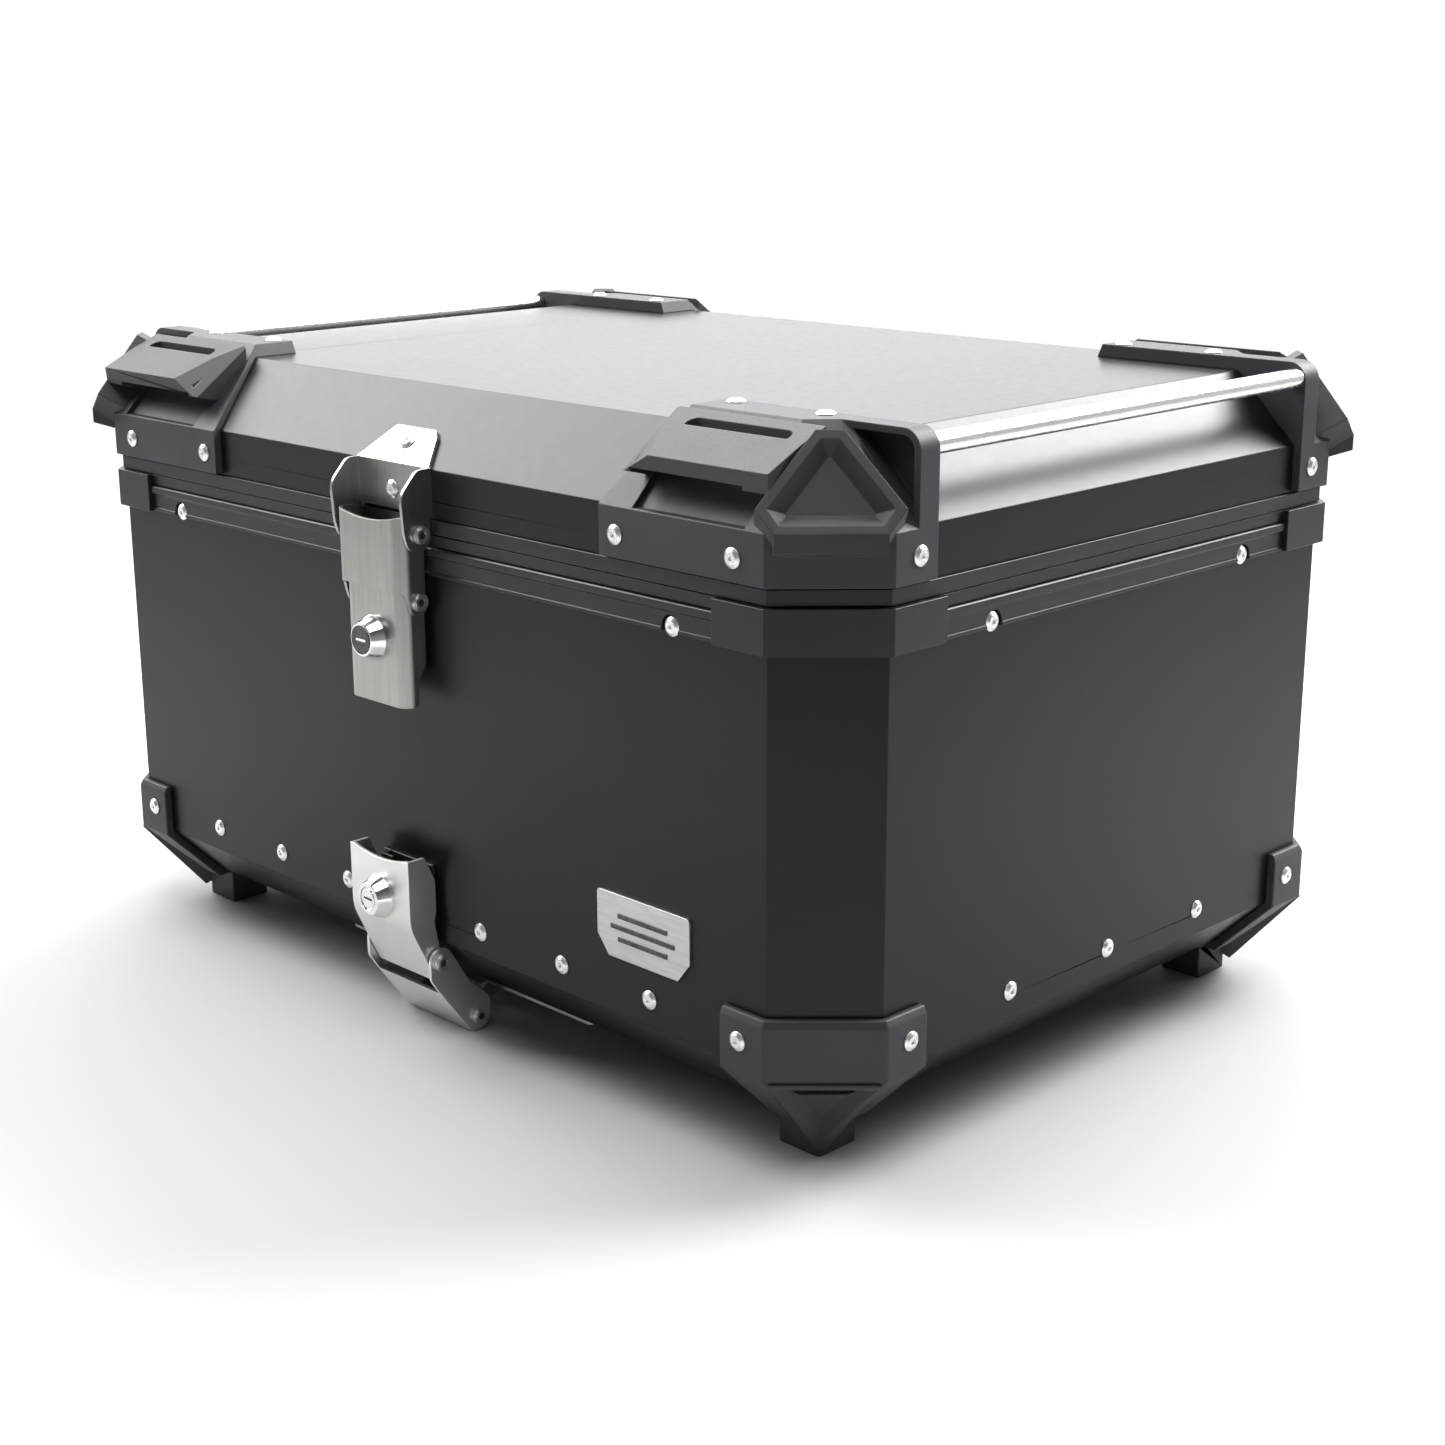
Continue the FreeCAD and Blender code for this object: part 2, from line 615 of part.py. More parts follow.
def lid_shell(holes):
    shell = body("lid_form")
    extrude(shell, "XY", S.skirt_low, S.skirt_high, octagon(0))
    loft(shell, [(S.skirt_high, octagon(0)), (S.lid_top, octagon(S.lid_slope))])
    hollow = solid_lid("lid_hollow", S.sheet)
    shell_cut = boolean("Cut", "lid_hollowed", place(shell), hollow)
    return node("lid_shell", boolean("Cut", "lid_shell", shell_cut, holes))


def lid_rim():
    outer = body("lid_rim_outer")
    ring(outer, S.lid_rim_low, S.skirt_low, -S.lid_rim_depth, S.sheet)
    inner = body("lid_rim_inner")
    ring(inner, S.lid_rim_low + S.seal_height, S.skirt_low + 6, S.sheet, S.sheet * 2)
    shelf = body("lid_rim_shelf")
    ring(shelf, S.lid_rim_low + S.seal_height, S.skirt_low - 2, S.sheet * 2, S.rim_shelf)
    return node("lid_rim", boolean("MultiFuse", "lid_rim", place(outer), place(inner), place(shelf)))


def lid_seal():
    seal = body("lid_seal")
    ring(seal, S.wrap_high + 0.1, S.lid_rim_low + S.seal_height, S.sheet + 0.4, S.rim_shelf - 1)
    return node("lid_seal", place(seal))


# ---------------------------------------------------------------------------------------------
# lid guards: a moulding over each upper corner, with a strap loop, an arch and a bumper
# ---------------------------------------------------------------------------------------------

def guard_envelope():
    """The lid's outer form grown by the guard's depth, between the guard's low and top faces."""
    depth = S.guard_depth
    form = body("guard_envelope")
    extrude(form, "XY", S.guard_low, S.skirt_high, octagon(-depth))
    rise = S.guard_top - S.skirt_high
    loft(form, [(S.skirt_high, octagon(-depth)), (S.guard_top, octagon(rise - depth))])
    return place(form)


def guard_region():
    """Plan limits of the right front guard; its left edge leans inwards as it rises."""
    region = body("guard_region")
    far = HALF_X + 20
    extrude(region, "XZ", -HALF_Y - 20, -S.guard_back,
            [(S.guard_left, S.guard_low), (far, S.guard_low), (far, S.guard_top + 5),
             (S.guard_left_top, S.guard_top + 5), (S.guard_left_top, S.guard_top), (S.guard_left, S.skirt_high + 1)])
    return place(region)


def guard_arch():
    """End loop beside the corner: a band over a thin web, open towards the bumper."""
    outer_x, top = HALF_X + S.guard_depth, S.guard_top
    arch = body("guard_arch")
    start = HALF_X - S.arch_reach + S.guard_depth
    extrude(arch, "XZ", -S.arch_front, -S.guard_back,
            [(start, S.skirt_high - 6), (outer_x, S.skirt_high - 6), (outer_x, top, S.arch_radius), (start, top)])
    band = S.arch_band
    # the sunk panel follows the lid's slope on its inner side
    extrude(arch, "XZ", -S.arch_front - 1, -S.guard_back - S.arch_web,
            [(outer_x - band, S.skirt_high + 3), (outer_x - band, top - band, S.arch_radius - band),
             (start + 13, top - band)], cut=True)
    return place(arch)


def guard_bridge():
    """Raised brow over the front slope, which makes the strap loop."""
    front = -S.bridge_front
    bridge = body("guard_bridge")
    extrude(bridge, "YZ", S.bridge_left, S.bridge_right,
            [(-S.bridge_back, S.guard_top), (-S.bridge_ridge, S.bridge_ridge_height), (front, S.bridge_brow_height),
             (front + 1, S.bridge_lip_height), (front + 13, S.bridge_lip_height - 3), (-S.bridge_back, S.lid_top - 20)])
    return boolean("Cut", "guard_bridge_flank", place(bridge), bridge_flank())


def bridge_flank():
    """Block that bevels the brow's left end, through its brow corner, its low tip and the plate's corner."""
    brow = vector(S.bridge_brow_left, -S.bridge_front, S.bridge_brow_height)
    tip = vector(S.bridge_tip_left, -S.bridge_front, S.bridge_lip_height)
    plate_corner = vector(S.guard_left_top, -S.bridge_back, S.guard_top)
    normal = (plate_corner - brow).cross(tip - brow).normalize()
    block = body("guard_flank")
    reach = 80
    box(block, (-reach, -reach, 0), (reach, reach, 60))
    place(block, S.bridge_brow_left, -S.bridge_front, S.bridge_brow_height)
    block.Placement = FreeCAD.Placement(block.Placement.Base, FreeCAD.Rotation(FreeCAD.Vector(0, 0, 1), normal))
    return block


def guard_openings():
    """Space cut under the brow, open to the front, and the slot above it."""
    front = -S.bridge_front
    wall = S.bridge_wall
    loop = body("guard_loop")
    extrude(loop, "YZ", S.loop_left, S.loop_right,
            [(front - 3, S.skirt_high + 0.6), (-HALF_Y, S.skirt_high + 0.6), (-S.bridge_back - 2, S.lid_top - 3.5),
             (-S.bridge_ridge + 1, S.bridge_ridge_height - wall), (front + wall, S.bridge_brow_height - 3.5),
             (front + wall - 1, S.bridge_lip_height + 2), (front - 3, S.bridge_lip_height + 2)])
    slot = body("guard_slot")
    extrude(slot, "XY", S.lid_top - 12, S.guard_top + 2,
            [(S.slot_left, -S.slot_front, 1.0), (S.slot_right, -S.slot_front, 1.0),
             (S.slot_right, -S.slot_back, 5.0), (S.slot_left, -S.slot_back, 5.0)])
    return boolean("MultiFuse", "guard_openings", place(loop), place(slot))


def bumper_outline(frame):
    """Bumper face, moved inwards by frame: a triangle with two clipped lower corners and a flat tip."""
    face = math.hypot(S.bumper_rise.value, S.bumper_apex_back.value)
    upper = (S.bumper_side_half - S.bumper_apex_half).value / (face - S.bumper_side_up.value)
    lower = (S.bumper_side_half - S.bumper_base_half).value / S.bumper_side_up.value
    upper_shift, lower_shift = math.hypot(1, upper), math.hypot(1, lower)
    base_half = S.bumper_base_half + frame * (lower - lower_shift)
    side_up = S.bumper_side_up - frame * ((upper_shift - lower_shift) / (upper + lower))
    side_half = S.bumper_base_half + side_up * lower - frame * lower_shift
    tip_half = S.bumper_apex_half + frame * (upper - upper_shift)
    return [(-base_half, frame), (base_half, frame), (side_half, side_up), (tip_half, face - frame),
            (-tip_half, face - frame), (-side_half, side_up)]


def bumper():
    """Triangular corner bumper that leans back with the lid's slope, its chin and its sunk panel."""
    form = body("bumper")
    extrude(form, "XY", -60, 0, bumper_outline(size(0)))
    panel = body("bumper_panel")
    loft(panel, [(0.01, bumper_outline(S.bumper_frame)),
                 (-S.bumper_sink, bumper_outline(S.bumper_frame + S.bumper_bevel))])
    lean_back = math.degrees(math.atan2(S.bumper_apex_back.value, S.bumper_rise.value))
    for part in (form, panel):
        stand_on_corner(part, S.bumper_out, S.bumper_base, 90 - lean_back)
    # upright face below the base edge, which runs back under the bumper
    chin = body("bumper_chin")
    foot = S.bumper_base - S.chin_drop
    extrude(chin, "YZ", -S.bumper_base_half, S.bumper_base_half,
            [(-S.bumper_out, S.bumper_base + 0.5), (-S.bumper_out, foot), (-S.guard_depth + 0.5, foot - 4),
             (2, foot - 4), (2, S.bumper_base + 14), (-S.bumper_out / 2, S.bumper_base + 14)])
    place(chin, HALF_X - S.corner_cut / 2, -HALF_Y + S.corner_cut / 2, 0, angle=45)
    return form, chin, panel


def guard_places():
    """Rivets of the four lid guards: front flange, end flange and top plate."""
    depth = S.guard_depth
    front = (four_ways("front", 170, HALF_Y + depth, 272) + four_ways("front", 245.5, HALF_Y + depth, 272))
    end = four_ways("right", HALF_X + depth, 158, 273)
    top = four_ways("up", 187, 152.5, S.guard_top) + four_ways("up", 244, 153.5, S.guard_top)
    return front + end, top


def lid_guards(lid_form, rail_sockets, holes):
    blank = boolean("Common", "guard_blank", guard_envelope(), guard_region())
    face, chin, panel = bumper()
    whole = boolean("MultiFuse", "guard_whole", blank, guard_bridge(), guard_arch(), face, chin)
    below = body("guard_below")
    box(below, (0, -HALF_Y - 50, 0), (HALF_X + 50, 0, S.guard_low))
    levelled = boolean("Cut", "guard_levelled", whole, place(below))
    opened = boolean("Cut", "guard_opened", levelled, guard_openings())
    sunk = boolean("Cut", "guard_sunk", opened, panel)
    trimmed = boolean("Cut", "guard_trimmed", sunk, lid_form)
    bored = boolean("Cut", "guard_bored", trimmed, rail_sockets)
    four_corners("lid_guard", boolean("Cut", "lid_guard", bored, holes))


# ---------------------------------------------------------------------------------------------
# grab rails
# ---------------------------------------------------------------------------------------------

def rail_rod(name, radius, reach):
    rod = body(name)
    extrude(rod, "XZ", -reach, reach, round_at=(S.rail_offset, S.rail_height, radius))
    return place(rod)


def rails():
    """Round bars between the arches, with a spigot on each end in the arch's web."""
    bar = rail_rod("rail_bar", S.rail_radius, S.guard_back - 0.1)
    spigot = rail_rod("rail_spigots", S.rail_spigot, S.guard_back + S.arch_web)
    rail = node("rail_right", boolean("MultiFuse", "rail_right", bar, spigot))
    node("rail_left", mirrored("rail_left", rail, (1, 0, 0)))


def rail_sockets():
    return rail_rod("rail_socket", S.rail_spigot + 0.05, S.guard_back + S.arch_web)


# ---------------------------------------------------------------------------------------------
# hinge: two leaves with alternate knuckles on one pin
# ---------------------------------------------------------------------------------------------

def hinge_leaf(name, first, profile, holes):
    """A leaf and every second knuckle, starting at first, bored for the pin."""
    count = int(S.hinge_knuckles.value)
    pitch = S.hinge_half * 2 / count
    back, height = S.hinge_axis_back, S.hinge_axis_height
    leaf = body(name + "_leaf")
    extrude(leaf, "YZ", -S.hinge_half, S.hinge_half, profile)
    knuckles = body(name + "_knuckles")
    gaps = body(name + "_gaps")
    clearance = 0.3
    for k in range(count):
        low = -S.hinge_half + pitch * k
        if k % 2 == first:
            extrude(knuckles, "YZ", low + clearance, low + pitch - clearance, round_at=(back, height, S.hinge_knuckle))
        else:
            cutter = S.hinge_knuckle + 0.8
            extrude(gaps, "YZ", low - clearance, low + pitch + clearance, round_at=(back, height, cutter))
    bore = body(name + "_bore")
    extrude(bore, "YZ", -S.hinge_half - 5, S.hinge_half + 5, round_at=(back, height, S.hinge_pin_hole))
    for piece in (knuckles, gaps):
        piece.AllowCompound = True
    relieved = boolean("Cut", name + "_relieved", place(leaf), place(gaps))
    joined = boolean("MultiFuse", name + "_joined", relieved, place(knuckles))
    bored = boolean("Cut", name + "_bored", joined, place(bore))
    return node(name, boolean("Cut", name, bored, holes))


def hinge_rivet_places():
    body_side = [("back", (S.hinge_half * k / 4, HALF_Y + S.hinge_leaf, 220)) for k in (-3, -1, 1, 3)]
    lid_side = [("back", (S.hinge_half * k / 4, HALF_Y + S.hinge_leaf, 275)) for k in (-3, -1, 1, 3)]
    return body_side, lid_side


def hinge(body_holes, lid_holes):
    face, leaf = HALF_Y, S.hinge_leaf
    back, height, knuckle = S.hinge_axis_back, S.hinge_axis_height, S.hinge_knuckle
    near, far = back - knuckle + 0.4, back + knuckle - 0.4
    hinge_leaf("hinge_body_leaf", 0,
               [(face, 206), (face + leaf, 206), (face + leaf, height - 10.5), (far, height - 4), (far, height),
                (near, height), (near, height - 6), (face, height - 9.2)], body_holes)
    hinge_leaf("hinge_lid_leaf", 1,
               [(near, height), (far, height), (far, height + 3), (face + leaf, height + 10.5),
                (face + leaf, S.skirt_high - 1), (face, S.skirt_high - 1), (face, height + 9.2),
                (near, height + 7)], lid_holes)
    pin = body("hinge_pin")
    extrude(pin, "YZ", -S.hinge_half - 2, S.hinge_half + 2, round_at=(back, height, S.hinge_pin))
    node("hinge_pin", place(pin))


# ---------------------------------------------------------------------------------------------
# latches
# ---------------------------------------------------------------------------------------------

def cross_pin(name, out, height, half):
    """A pin along X with a low head on each end, outside the plates that it holds."""
    pin = body(name)
    extrude(pin, "YZ", -half - 0.2, half + 0.2, round_at=(-out, height, S.latch_pin))
    for side in (-1, 1):
        low, high = (half + 0.2, half + 2.2) if side > 0 else (-half - 2.2, -half - 0.2)
        extrude(pin, "YZ", low, high, round_at=(-out, height, S.pin_head))
    return node(name, place(pin))


def channel(owner, half, thickness, front, back, low, high, radius):
    """A U-channel open to the back, between two heights, with rounded front edges."""
    inner = half - thickness
    extrude(owner, "XY", low, high,
            [(-half, -back), (-half, -front, radius), (half, -front, radius), (half, -back)])
    extrude(owner, "XY", low, high,
            [(-inner, -back + 1), (-inner, -front + thickness, radius - thickness),
             (inner, -front + thickness, radius - thickness), (inner, -back + 1)], cut=True)
    return owner


def side_view_trim(name, half, corners):
    """A prism across the latch whose outline is the channel's side view."""
    trim = body(name)
    extrude(trim, "YZ", -half - 1, half + 1, corners)
    return place(trim)


def bore_across(name, half, out, height, radius):
    drill = body(name)
    extrude(drill, "YZ", -half - 1, half + 1, round_at=(-out, height, radius))
    return place(drill)


def lock_hole(name, height, front):
    hole = body(name)
    extrude(hole, "XZ", -front - S.plate, -front + S.plate * 3, round_at=(0, height, S.plug_hole))
    return place(hole)


def upper_bracket(holes):
    """Skirt plate and bent plate on the lid, with two cheeks that hold the link's pin."""
    face, plate, half = HALF_Y, S.plate, S.bracket_half
    out, height, front = S.upper_pin_out, S.upper_pin_height, S.link_front
    skirt = body("bracket_skirt")
    box(skirt, (-half, -face - plate, S.skirt_low + 2), (half, -face, S.skirt_high + 0.8))
    slope = body("bracket_slope")
    top = S.bracket_slope_up
    extrude(slope, "XY", 0, plate,
            [(-half, -0.8), (half, -0.8), (half - 2, 3), (half - 9, top - 4, 2), (half - 13, top, 2),
             (-half / 2, top, 3), (3 - half, 3)])
    place(slope, 0, -face, S.skirt_high, axis=(1, 0, 0), angle=45)
    cheek = body("bracket_cheek")
    extrude(cheek, "YZ", half - plate, half,
            [(-face - 0.5, S.skirt_high + 1), (-face - 9, S.skirt_high + 1, 7), (-front, S.skirt_high - 11, 11),
             (-front + 1.5, height + 1, 4), (-out - 7, height - 8.5, 6), (-out + 6.5, height - 8.5, 6),
             (-out + 7, height + 7, 4), (-face - 0.5, height + 9)])
    other = mirrored("bracket_cheek_left", place(cheek), (1, 0, 0))
    whole = boolean("MultiFuse", "bracket_whole", place(skirt), slope, cheek, other)
    bored = boolean("Cut", "bracket_bored", whole,
                    bore_across("bracket_bore", half, out, height, S.latch_pin_hole))
    node("upper_latch_bracket", boolean("Cut", "upper_latch_bracket", bored, holes))
    cross_pin("upper_latch_pin", out, height, half)


def upper_link():
    """Short channel between the cheeks, with a scooped top edge, that carries the lower pin."""
    half, out, front = S.link_half, S.upper_pin_out, S.link_front
    high, low = S.upper_pin_height, S.link_pin_height
    link = body("link_channel")
    channel(link, half, S.plate, front, HALF_Y + 4.2, low - 8, high + 9, S.fold_radius)
    trim = side_view_trim("link_side", half,
                          [(-front - 1, high + 9), (-front + 8, high + 9, 3), (-out + 6, high + 8, 6),
                           (-out + 6.5, high - 8, 4), (-HALF_Y - 4.3, high - 12, 4), (-HALF_Y - 4.3, low + 8, 4),
                           (-out + 6.5, low - 7, 5), (-out - 4, low - 7, 4), (-front + 3, low + 5, 4),
                           (-front - 1, low + 6)])
    shaped = boolean("Common", "link_shaped", place(link), trim)
    cuts = boolean("MultiFuse", "link_cuts",
                   bore_across("link_bore_top", half, out, high, S.latch_pin_hole),
                   bore_across("link_bore_low", half, out, low, S.latch_pin_hole),
                   scoop("link_scoop", half, front, high + 9))
    node("upper_latch_link", boolean("Cut", "upper_latch_link", shaped, cuts))
    cross_pin("upper_link_pin", out, low, half)


def scoop(name, half, front, edge, depth=3.0):
    """Round cutter across a channel's front plate, which dips its top edge by depth at the middle."""
    radius = ((half - 3) * (half - 3) + depth * depth) / (2 * depth)
    cutter = body(name)
    extrude(cutter, "XZ", -front - 2, -front + S.fold_radius - 2, round_at=(0, edge + radius - depth, radius))
    return place(cutter)


def upper_handle():
    """Long channel inside the link, which carries the lock."""
    half, out, low_pin = S.handle_half, S.upper_pin_out, S.link_pin_height
    front, bottom = S.handle_front, S.upper_handle_low
    handle = body("handle_channel")
    channel(handle, half, S.plate, front, HALF_Y + 3.5, bottom, low_pin + 8, S.fold_radius)
    trim = side_view_trim("handle_side", half,
                          [(-front - 1, low_pin + 5), (-out - 4, low_pin + 7, 4), (-HALF_Y - 3.6, low_pin + 7, 4),
                           (-HALF_Y - 3.6, bottom + 22, 4), (-HALF_Y - 8, bottom + 14, 4),
                           (-HALF_Y - 9, bottom, 3), (-front - 1, bottom)])
    shaped = boolean("Common", "handle_shaped", place(handle), trim)
    bores = boolean("MultiFuse", "handle_bores",
                    bore_across("handle_bore", half, out, low_pin, S.latch_pin_hole),
                    lock_hole("handle_lock_hole", S.upper_lock_height, front))
    node("upper_handle", boolean("Cut", "upper_handle", shaped, bores))
    lock("upper", S.upper_lock_height, front)
    keeper("upper_keeper", S.upper_lock_height)


def lock(prefix, height, front):
    """Conical escutcheon on the handle, and a plug with a key slot, a stem and a cam."""
    cone = body(prefix + "_lock_ring")
    rise = S.lock_rise
    revolve(cone, [(S.plug_hole, 0), (S.lock_base, 0), (S.lock_base, 1.6, 0.6), (S.lock_face + 0.4, rise, 0.8),
                   (S.plug_hole, rise)])
    place(cone, 0, -front, height, axis=(1, 0, 0), angle=90)
    node(prefix + "_lock_ring", cone)
    # the cam's back stays 1.4 mm clear of the keeper's plate on the wall
    plug = body(prefix + "_lock_plug")
    inside = front - HALF_Y - S.plate - 1.4
    revolve(plug, [(0, -inside), (S.cam_stem, -inside), (S.cam_stem, -S.plate - 1), (S.plug_radius, -S.plate - 1),
                   (S.plug_radius, rise - 0.6, 0.4), (0, rise - 0.6)])
    half_length, half_width = S.key_slot_length / 2, S.key_slot_width / 2
    extrude(plug, "XY", rise - S.key_slot_depth, rise + 1,
            [(-half_length, -half_width), (half_length, -half_width), (half_length, half_width),
             (-half_length, half_width)], cut=True)
    extrude(plug, "XY", -inside, -inside + 2,
            [(-S.cam_stem, 0.5), (-S.cam_stem, -S.cam_length, 2.5), (S.cam_stem, -S.cam_length, 2.5), (S.cam_stem, 0.5)])
    place(plug, 0, -front, height, axis=(1, 0, 0), angle=90)
    node(prefix + "_lock_plug", plug)


def keeper(name, height):
    """Hat-section keeper on the wall, with a slot for the stem and lips for the cam."""
    face, plate = HALF_Y, S.plate
    half, wall, lip, out = S.keeper_half, S.keeper_wall, S.keeper_lip, S.keeper_out
    hat = body(name)
    plan = [(-half, -face), (-half, -face - plate), (-wall - plate, -face - plate), (-wall - plate, -face - out),
            (-lip, -face - out), (-lip, -face - out + plate), (-wall, -face - out + plate), (-wall, -face - plate),
            (wall, -face - plate), (wall, -face - out + plate), (lip, -face - out + plate), (lip, -face - out),
            (wall + plate, -face - out), (wall + plate, -face - plate), (half, -face - plate), (half, -face)]
    extrude(hat, "XY", height - S.keeper_height / 2, height + S.keeper_height / 2, plan)
    return node(name, place(hat))


def lower_handle():
    """Channel that is straight above and turns inwards below the lock, down to its tail."""
    face, plate, front, half = HALF_Y, S.plate, S.lower_front, S.lower_handle_half
    out, height, top = S.lever_pin_out, S.lever_pin_height, S.lower_handle_top
    bend = 26
    outer = body("lower_handle_outer")
    extrude(outer, "YZ", -half, half,
            [(-front, top), (-front, S.lower_bend, bend), (-S.lower_tail_out, S.lower_tail),
             (-out + 4, S.lower_tail + 1, 4), (-out + 2, height + 6, 5), (-face - 5, height + 22, 4),
             (-face - 3.6, height + 28, 4), (-face - 3.6, top - 14, 4), (-face - 8, top - 4, 4), (-face - 10, top)])
    inner = body("lower_handle_inner")
    inside = half - plate
    extrude(inner, "YZ", -inside, inside,
            [(-front + plate, top + 1), (-front + plate, S.lower_bend, bend),
             (-S.lower_tail_out + plate, S.lower_tail - 1), (-face + 5, S.lower_tail - 1), (-face + 5, top + 1)])
    hollow = boolean("Cut", "lower_handle_hollow", place(outer), place(inner))
    cuts = boolean("MultiFuse", "lower_handle_cuts",
                   bore_across("lower_handle_bore", half, out, height, S.latch_pin_hole),
                   lock_hole("lower_lock_hole", S.lower_lock_height, front),
                   scoop("lower_handle_scoop", half, front, top))
    node("lower_handle", boolean("Cut", "lower_handle", hollow, cuts))
    lock("lower", S.lower_lock_height, front)
    keeper("lower_keeper", S.lower_lock_height)


def lower_lever():
    """Channel outside the handle's tail: two ears, and a web that runs down and inwards."""
    plate, half, end = S.plate, S.lever_half, S.lever_end_radius
    out, height = S.lever_pin_out, S.lever_pin_height
    foot_out, foot_height = S.foot_pin_out, S.foot_pin_height
    low = foot_height - end
    outer = body("lever_outer")
    extrude(outer, "YZ", -half, half,
            [(-out - 7, height + 8, 7), (-out + 5, height + 7, 6.5), (-foot_out - 6, foot_height + 22, 9),
             (-foot_out + end, foot_height + 9, 8), (-foot_out + end, low, 7.8), (-S.lever_web_low_out, low),
             (-S.lever_web_out, S.lever_web_top, 3), (-out - 7, height - 9, 8)])
    # the web's skin, measured level, and the open back and bottom
    inner = body("lever_inner")
    inside, skin = half - plate, plate * 1.25
    extrude(inner, "YZ", -inside, inside,
            [(-out - 20, height + 20), (-foot_out + 20, height + 20), (-foot_out + 20, low - 10),
             (-S.lever_web_low_out + skin, low - 10), (-S.lever_web_low_out + skin, low),
             (-S.lever_web_out + skin, S.lever_web_top), (-out - 20, S.lever_web_top)])
    hollow = boolean("Cut", "lever_hollow", place(outer), place(inner))
    bores = boolean("MultiFuse", "lever_bores",
                    bore_across("lever_bore_top", half, out, height, S.latch_pin_hole),
                    bore_across("lever_bore_low", half, foot_out, foot_height, S.latch_pin_hole))
    node("lower_lever", boolean("Cut", "lower_lever", hollow, bores))
    cross_pin("lower_handle_pin", out, height, half)
    cross_pin("lower_lever_pin", foot_out, foot_height, half)


def lever_bracket():
    """Clevis under the mounting plate that carries the lever's pin."""
    foot_out, foot_height, under = S.foot_pin_out, S.foot_pin_height, -S.floor_plate
    half, ear, boss = 20, 3, 4.8
    front, tie_length = -S.floor_plate_front, 50
    ears = body("lever_bracket_ears")
    ears.AllowCompound = True
    for low in (-half, half - ear):
        extrude(ears, "YZ", low, low + ear,
                [(-foot_out - boss, foot_height + boss, 4), (-foot_out - boss, foot_height - boss, 4.6),
                 (-foot_out + boss, foot_height - boss, 4.6), (front + 12, under - 2), (front + 12, under),
                 (front, under)])
    tie = body("lever_bracket_tie")
    box(tie, (-half, front + 1, under - 3), (half, front + tie_length, under))
    joined = boolean("MultiFuse", "lever_bracket_joined", place(ears), place(tie))
    bore = bore_across("lever_bracket_bore", half, foot_out, foot_height, S.latch_pin_hole)
    node("lever_bracket", boolean("Cut", "lever_bracket", joined, bore))


# ---------------------------------------------------------------------------------------------
# mounting plate, rear hook, name plate
# ---------------------------------------------------------------------------------------------

def mounting_plate():
    plate = body("floor_plate")
    half = S.floor_plate_half
    extrude(plate, "XY", -S.floor_plate, 0,
            [(-half, -S.floor_plate_front, 4), (half, -S.floor_plate_front, 4), (half, S.floor_plate_back, 8),
             (-half, S.floor_plate_back, 8)])
    bolt_holes(plate, -S.floor_plate - 1, 1)
    node("floor_plate", place(plate))
    hook = body("rear_hook")
    under, drop, thick = -S.floor_plate, -S.hook_drop, S.hook_plate
    back = S.floor_plate_back - 6
    extrude(hook, "YZ", -S.hook_half, S.hook_half,
            [(back - S.hook_reach, under), (back - S.hook_reach, under - thick), (back - thick, under - thick),
             (back - thick, drop + thick), (back - 24, drop + thick), (back - 24, drop), (back, drop, 3),
             (back, under)])
    node("rear_hook", place(hook))


def name_plate():
    badge = body("badge_plate")
    low, high, left, right = S.badge_low, S.badge_high, S.badge_left, S.badge_right
    extrude(badge, "XZ", -HALF_Y - S.badge_depth, -HALF_Y,
            [(left + 8, low), (right - 8, low), (right, low + 10), (right, high - 4, 2), (left, high - 4, 2),
             (left, low + 10)])
    node("badge_plate", place(badge))


# ---------------------------------------------------------------------------------------------
# the whole case
# ---------------------------------------------------------------------------------------------

def rim_rivet_places():
    front = [(side, (x, y, S.rim_rivet_height))
             for side, y in (("front", -HALF_Y), ("back", HALF_Y))
             for x in (-S.rim_rivet_front, S.rim_rivet_front)]
    ends = [(side, (x, y, S.rim_rivet_height))
            for side, x in (("right", HALF_X), ("left", -HALF_X))
            for y in (-S.rim_rivet_end, S.rim_rivet_end)]
    return front + ends


def build():
    row, rim = row_places(), rim_rivet_places()
    shoe_front, shoe_end = shoe_places()
    guard_side, guard_up = guard_places()
    hinge_body, hinge_lid = hinge_rivet_places()
    bracket_skirt = [("front", (0, -HALF_Y - S.plate, 272))]
    slope_up = 13 * DIAGONAL
    bracket_slope = [("slope", (2, -HALF_Y + slope_up - S.plate * DIAGONAL, S.skirt_high + slope_up + S.plate * DIAGONAL))]

    box_holes = rivet_holes(row + rim + shoe_front + shoe_end + hinge_body)
    lid_holes = rivet_holes(guard_side + guard_up + hinge_lid + bracket_skirt + bracket_slope)

    floor_pan(box_holes)
    wall_shell(box_holes)
    body_rim()
    rim_strips()
    rim_corners()
    bottom_guards(solid_box("box_form", 0), box_holes)
    mounting_plate()
    name_plate()
    lid_shell(lid_holes)
    lid_rim()
    lid_seal()
    lid_guards(solid_lid("lid_solid", 0), rail_sockets(), lid_holes)
    rails()
    hinge(box_holes, lid_holes)
    upper_bracket(lid_holes)
    upper_link()
    upper_handle()
    lower_handle()
    lower_lever()
    lever_bracket()
    rivets("row_rivets", S.sheet * 2, row)
    rivets("rim_rivets", S.sheet, rim)
    rivets("bottom_guard_rivets", S.sheet * 2 + S.shoe_depth, shoe_front + shoe_end)
    rivets("lid_guard_rivets", S.sheet + S.guard_depth, guard_side)
    rivets("lid_guard_top_rivets", S.guard_top - S.lid_top + S.sheet, guard_up)
    rivets("hinge_body_rivets", S.sheet + S.hinge_leaf, hinge_body)
    rivets("hinge_lid_rivets", S.sheet + S.hinge_leaf, hinge_lid)
    rivets("bracket_rivets", S.sheet + S.plate, bracket_skirt + bracket_slope)


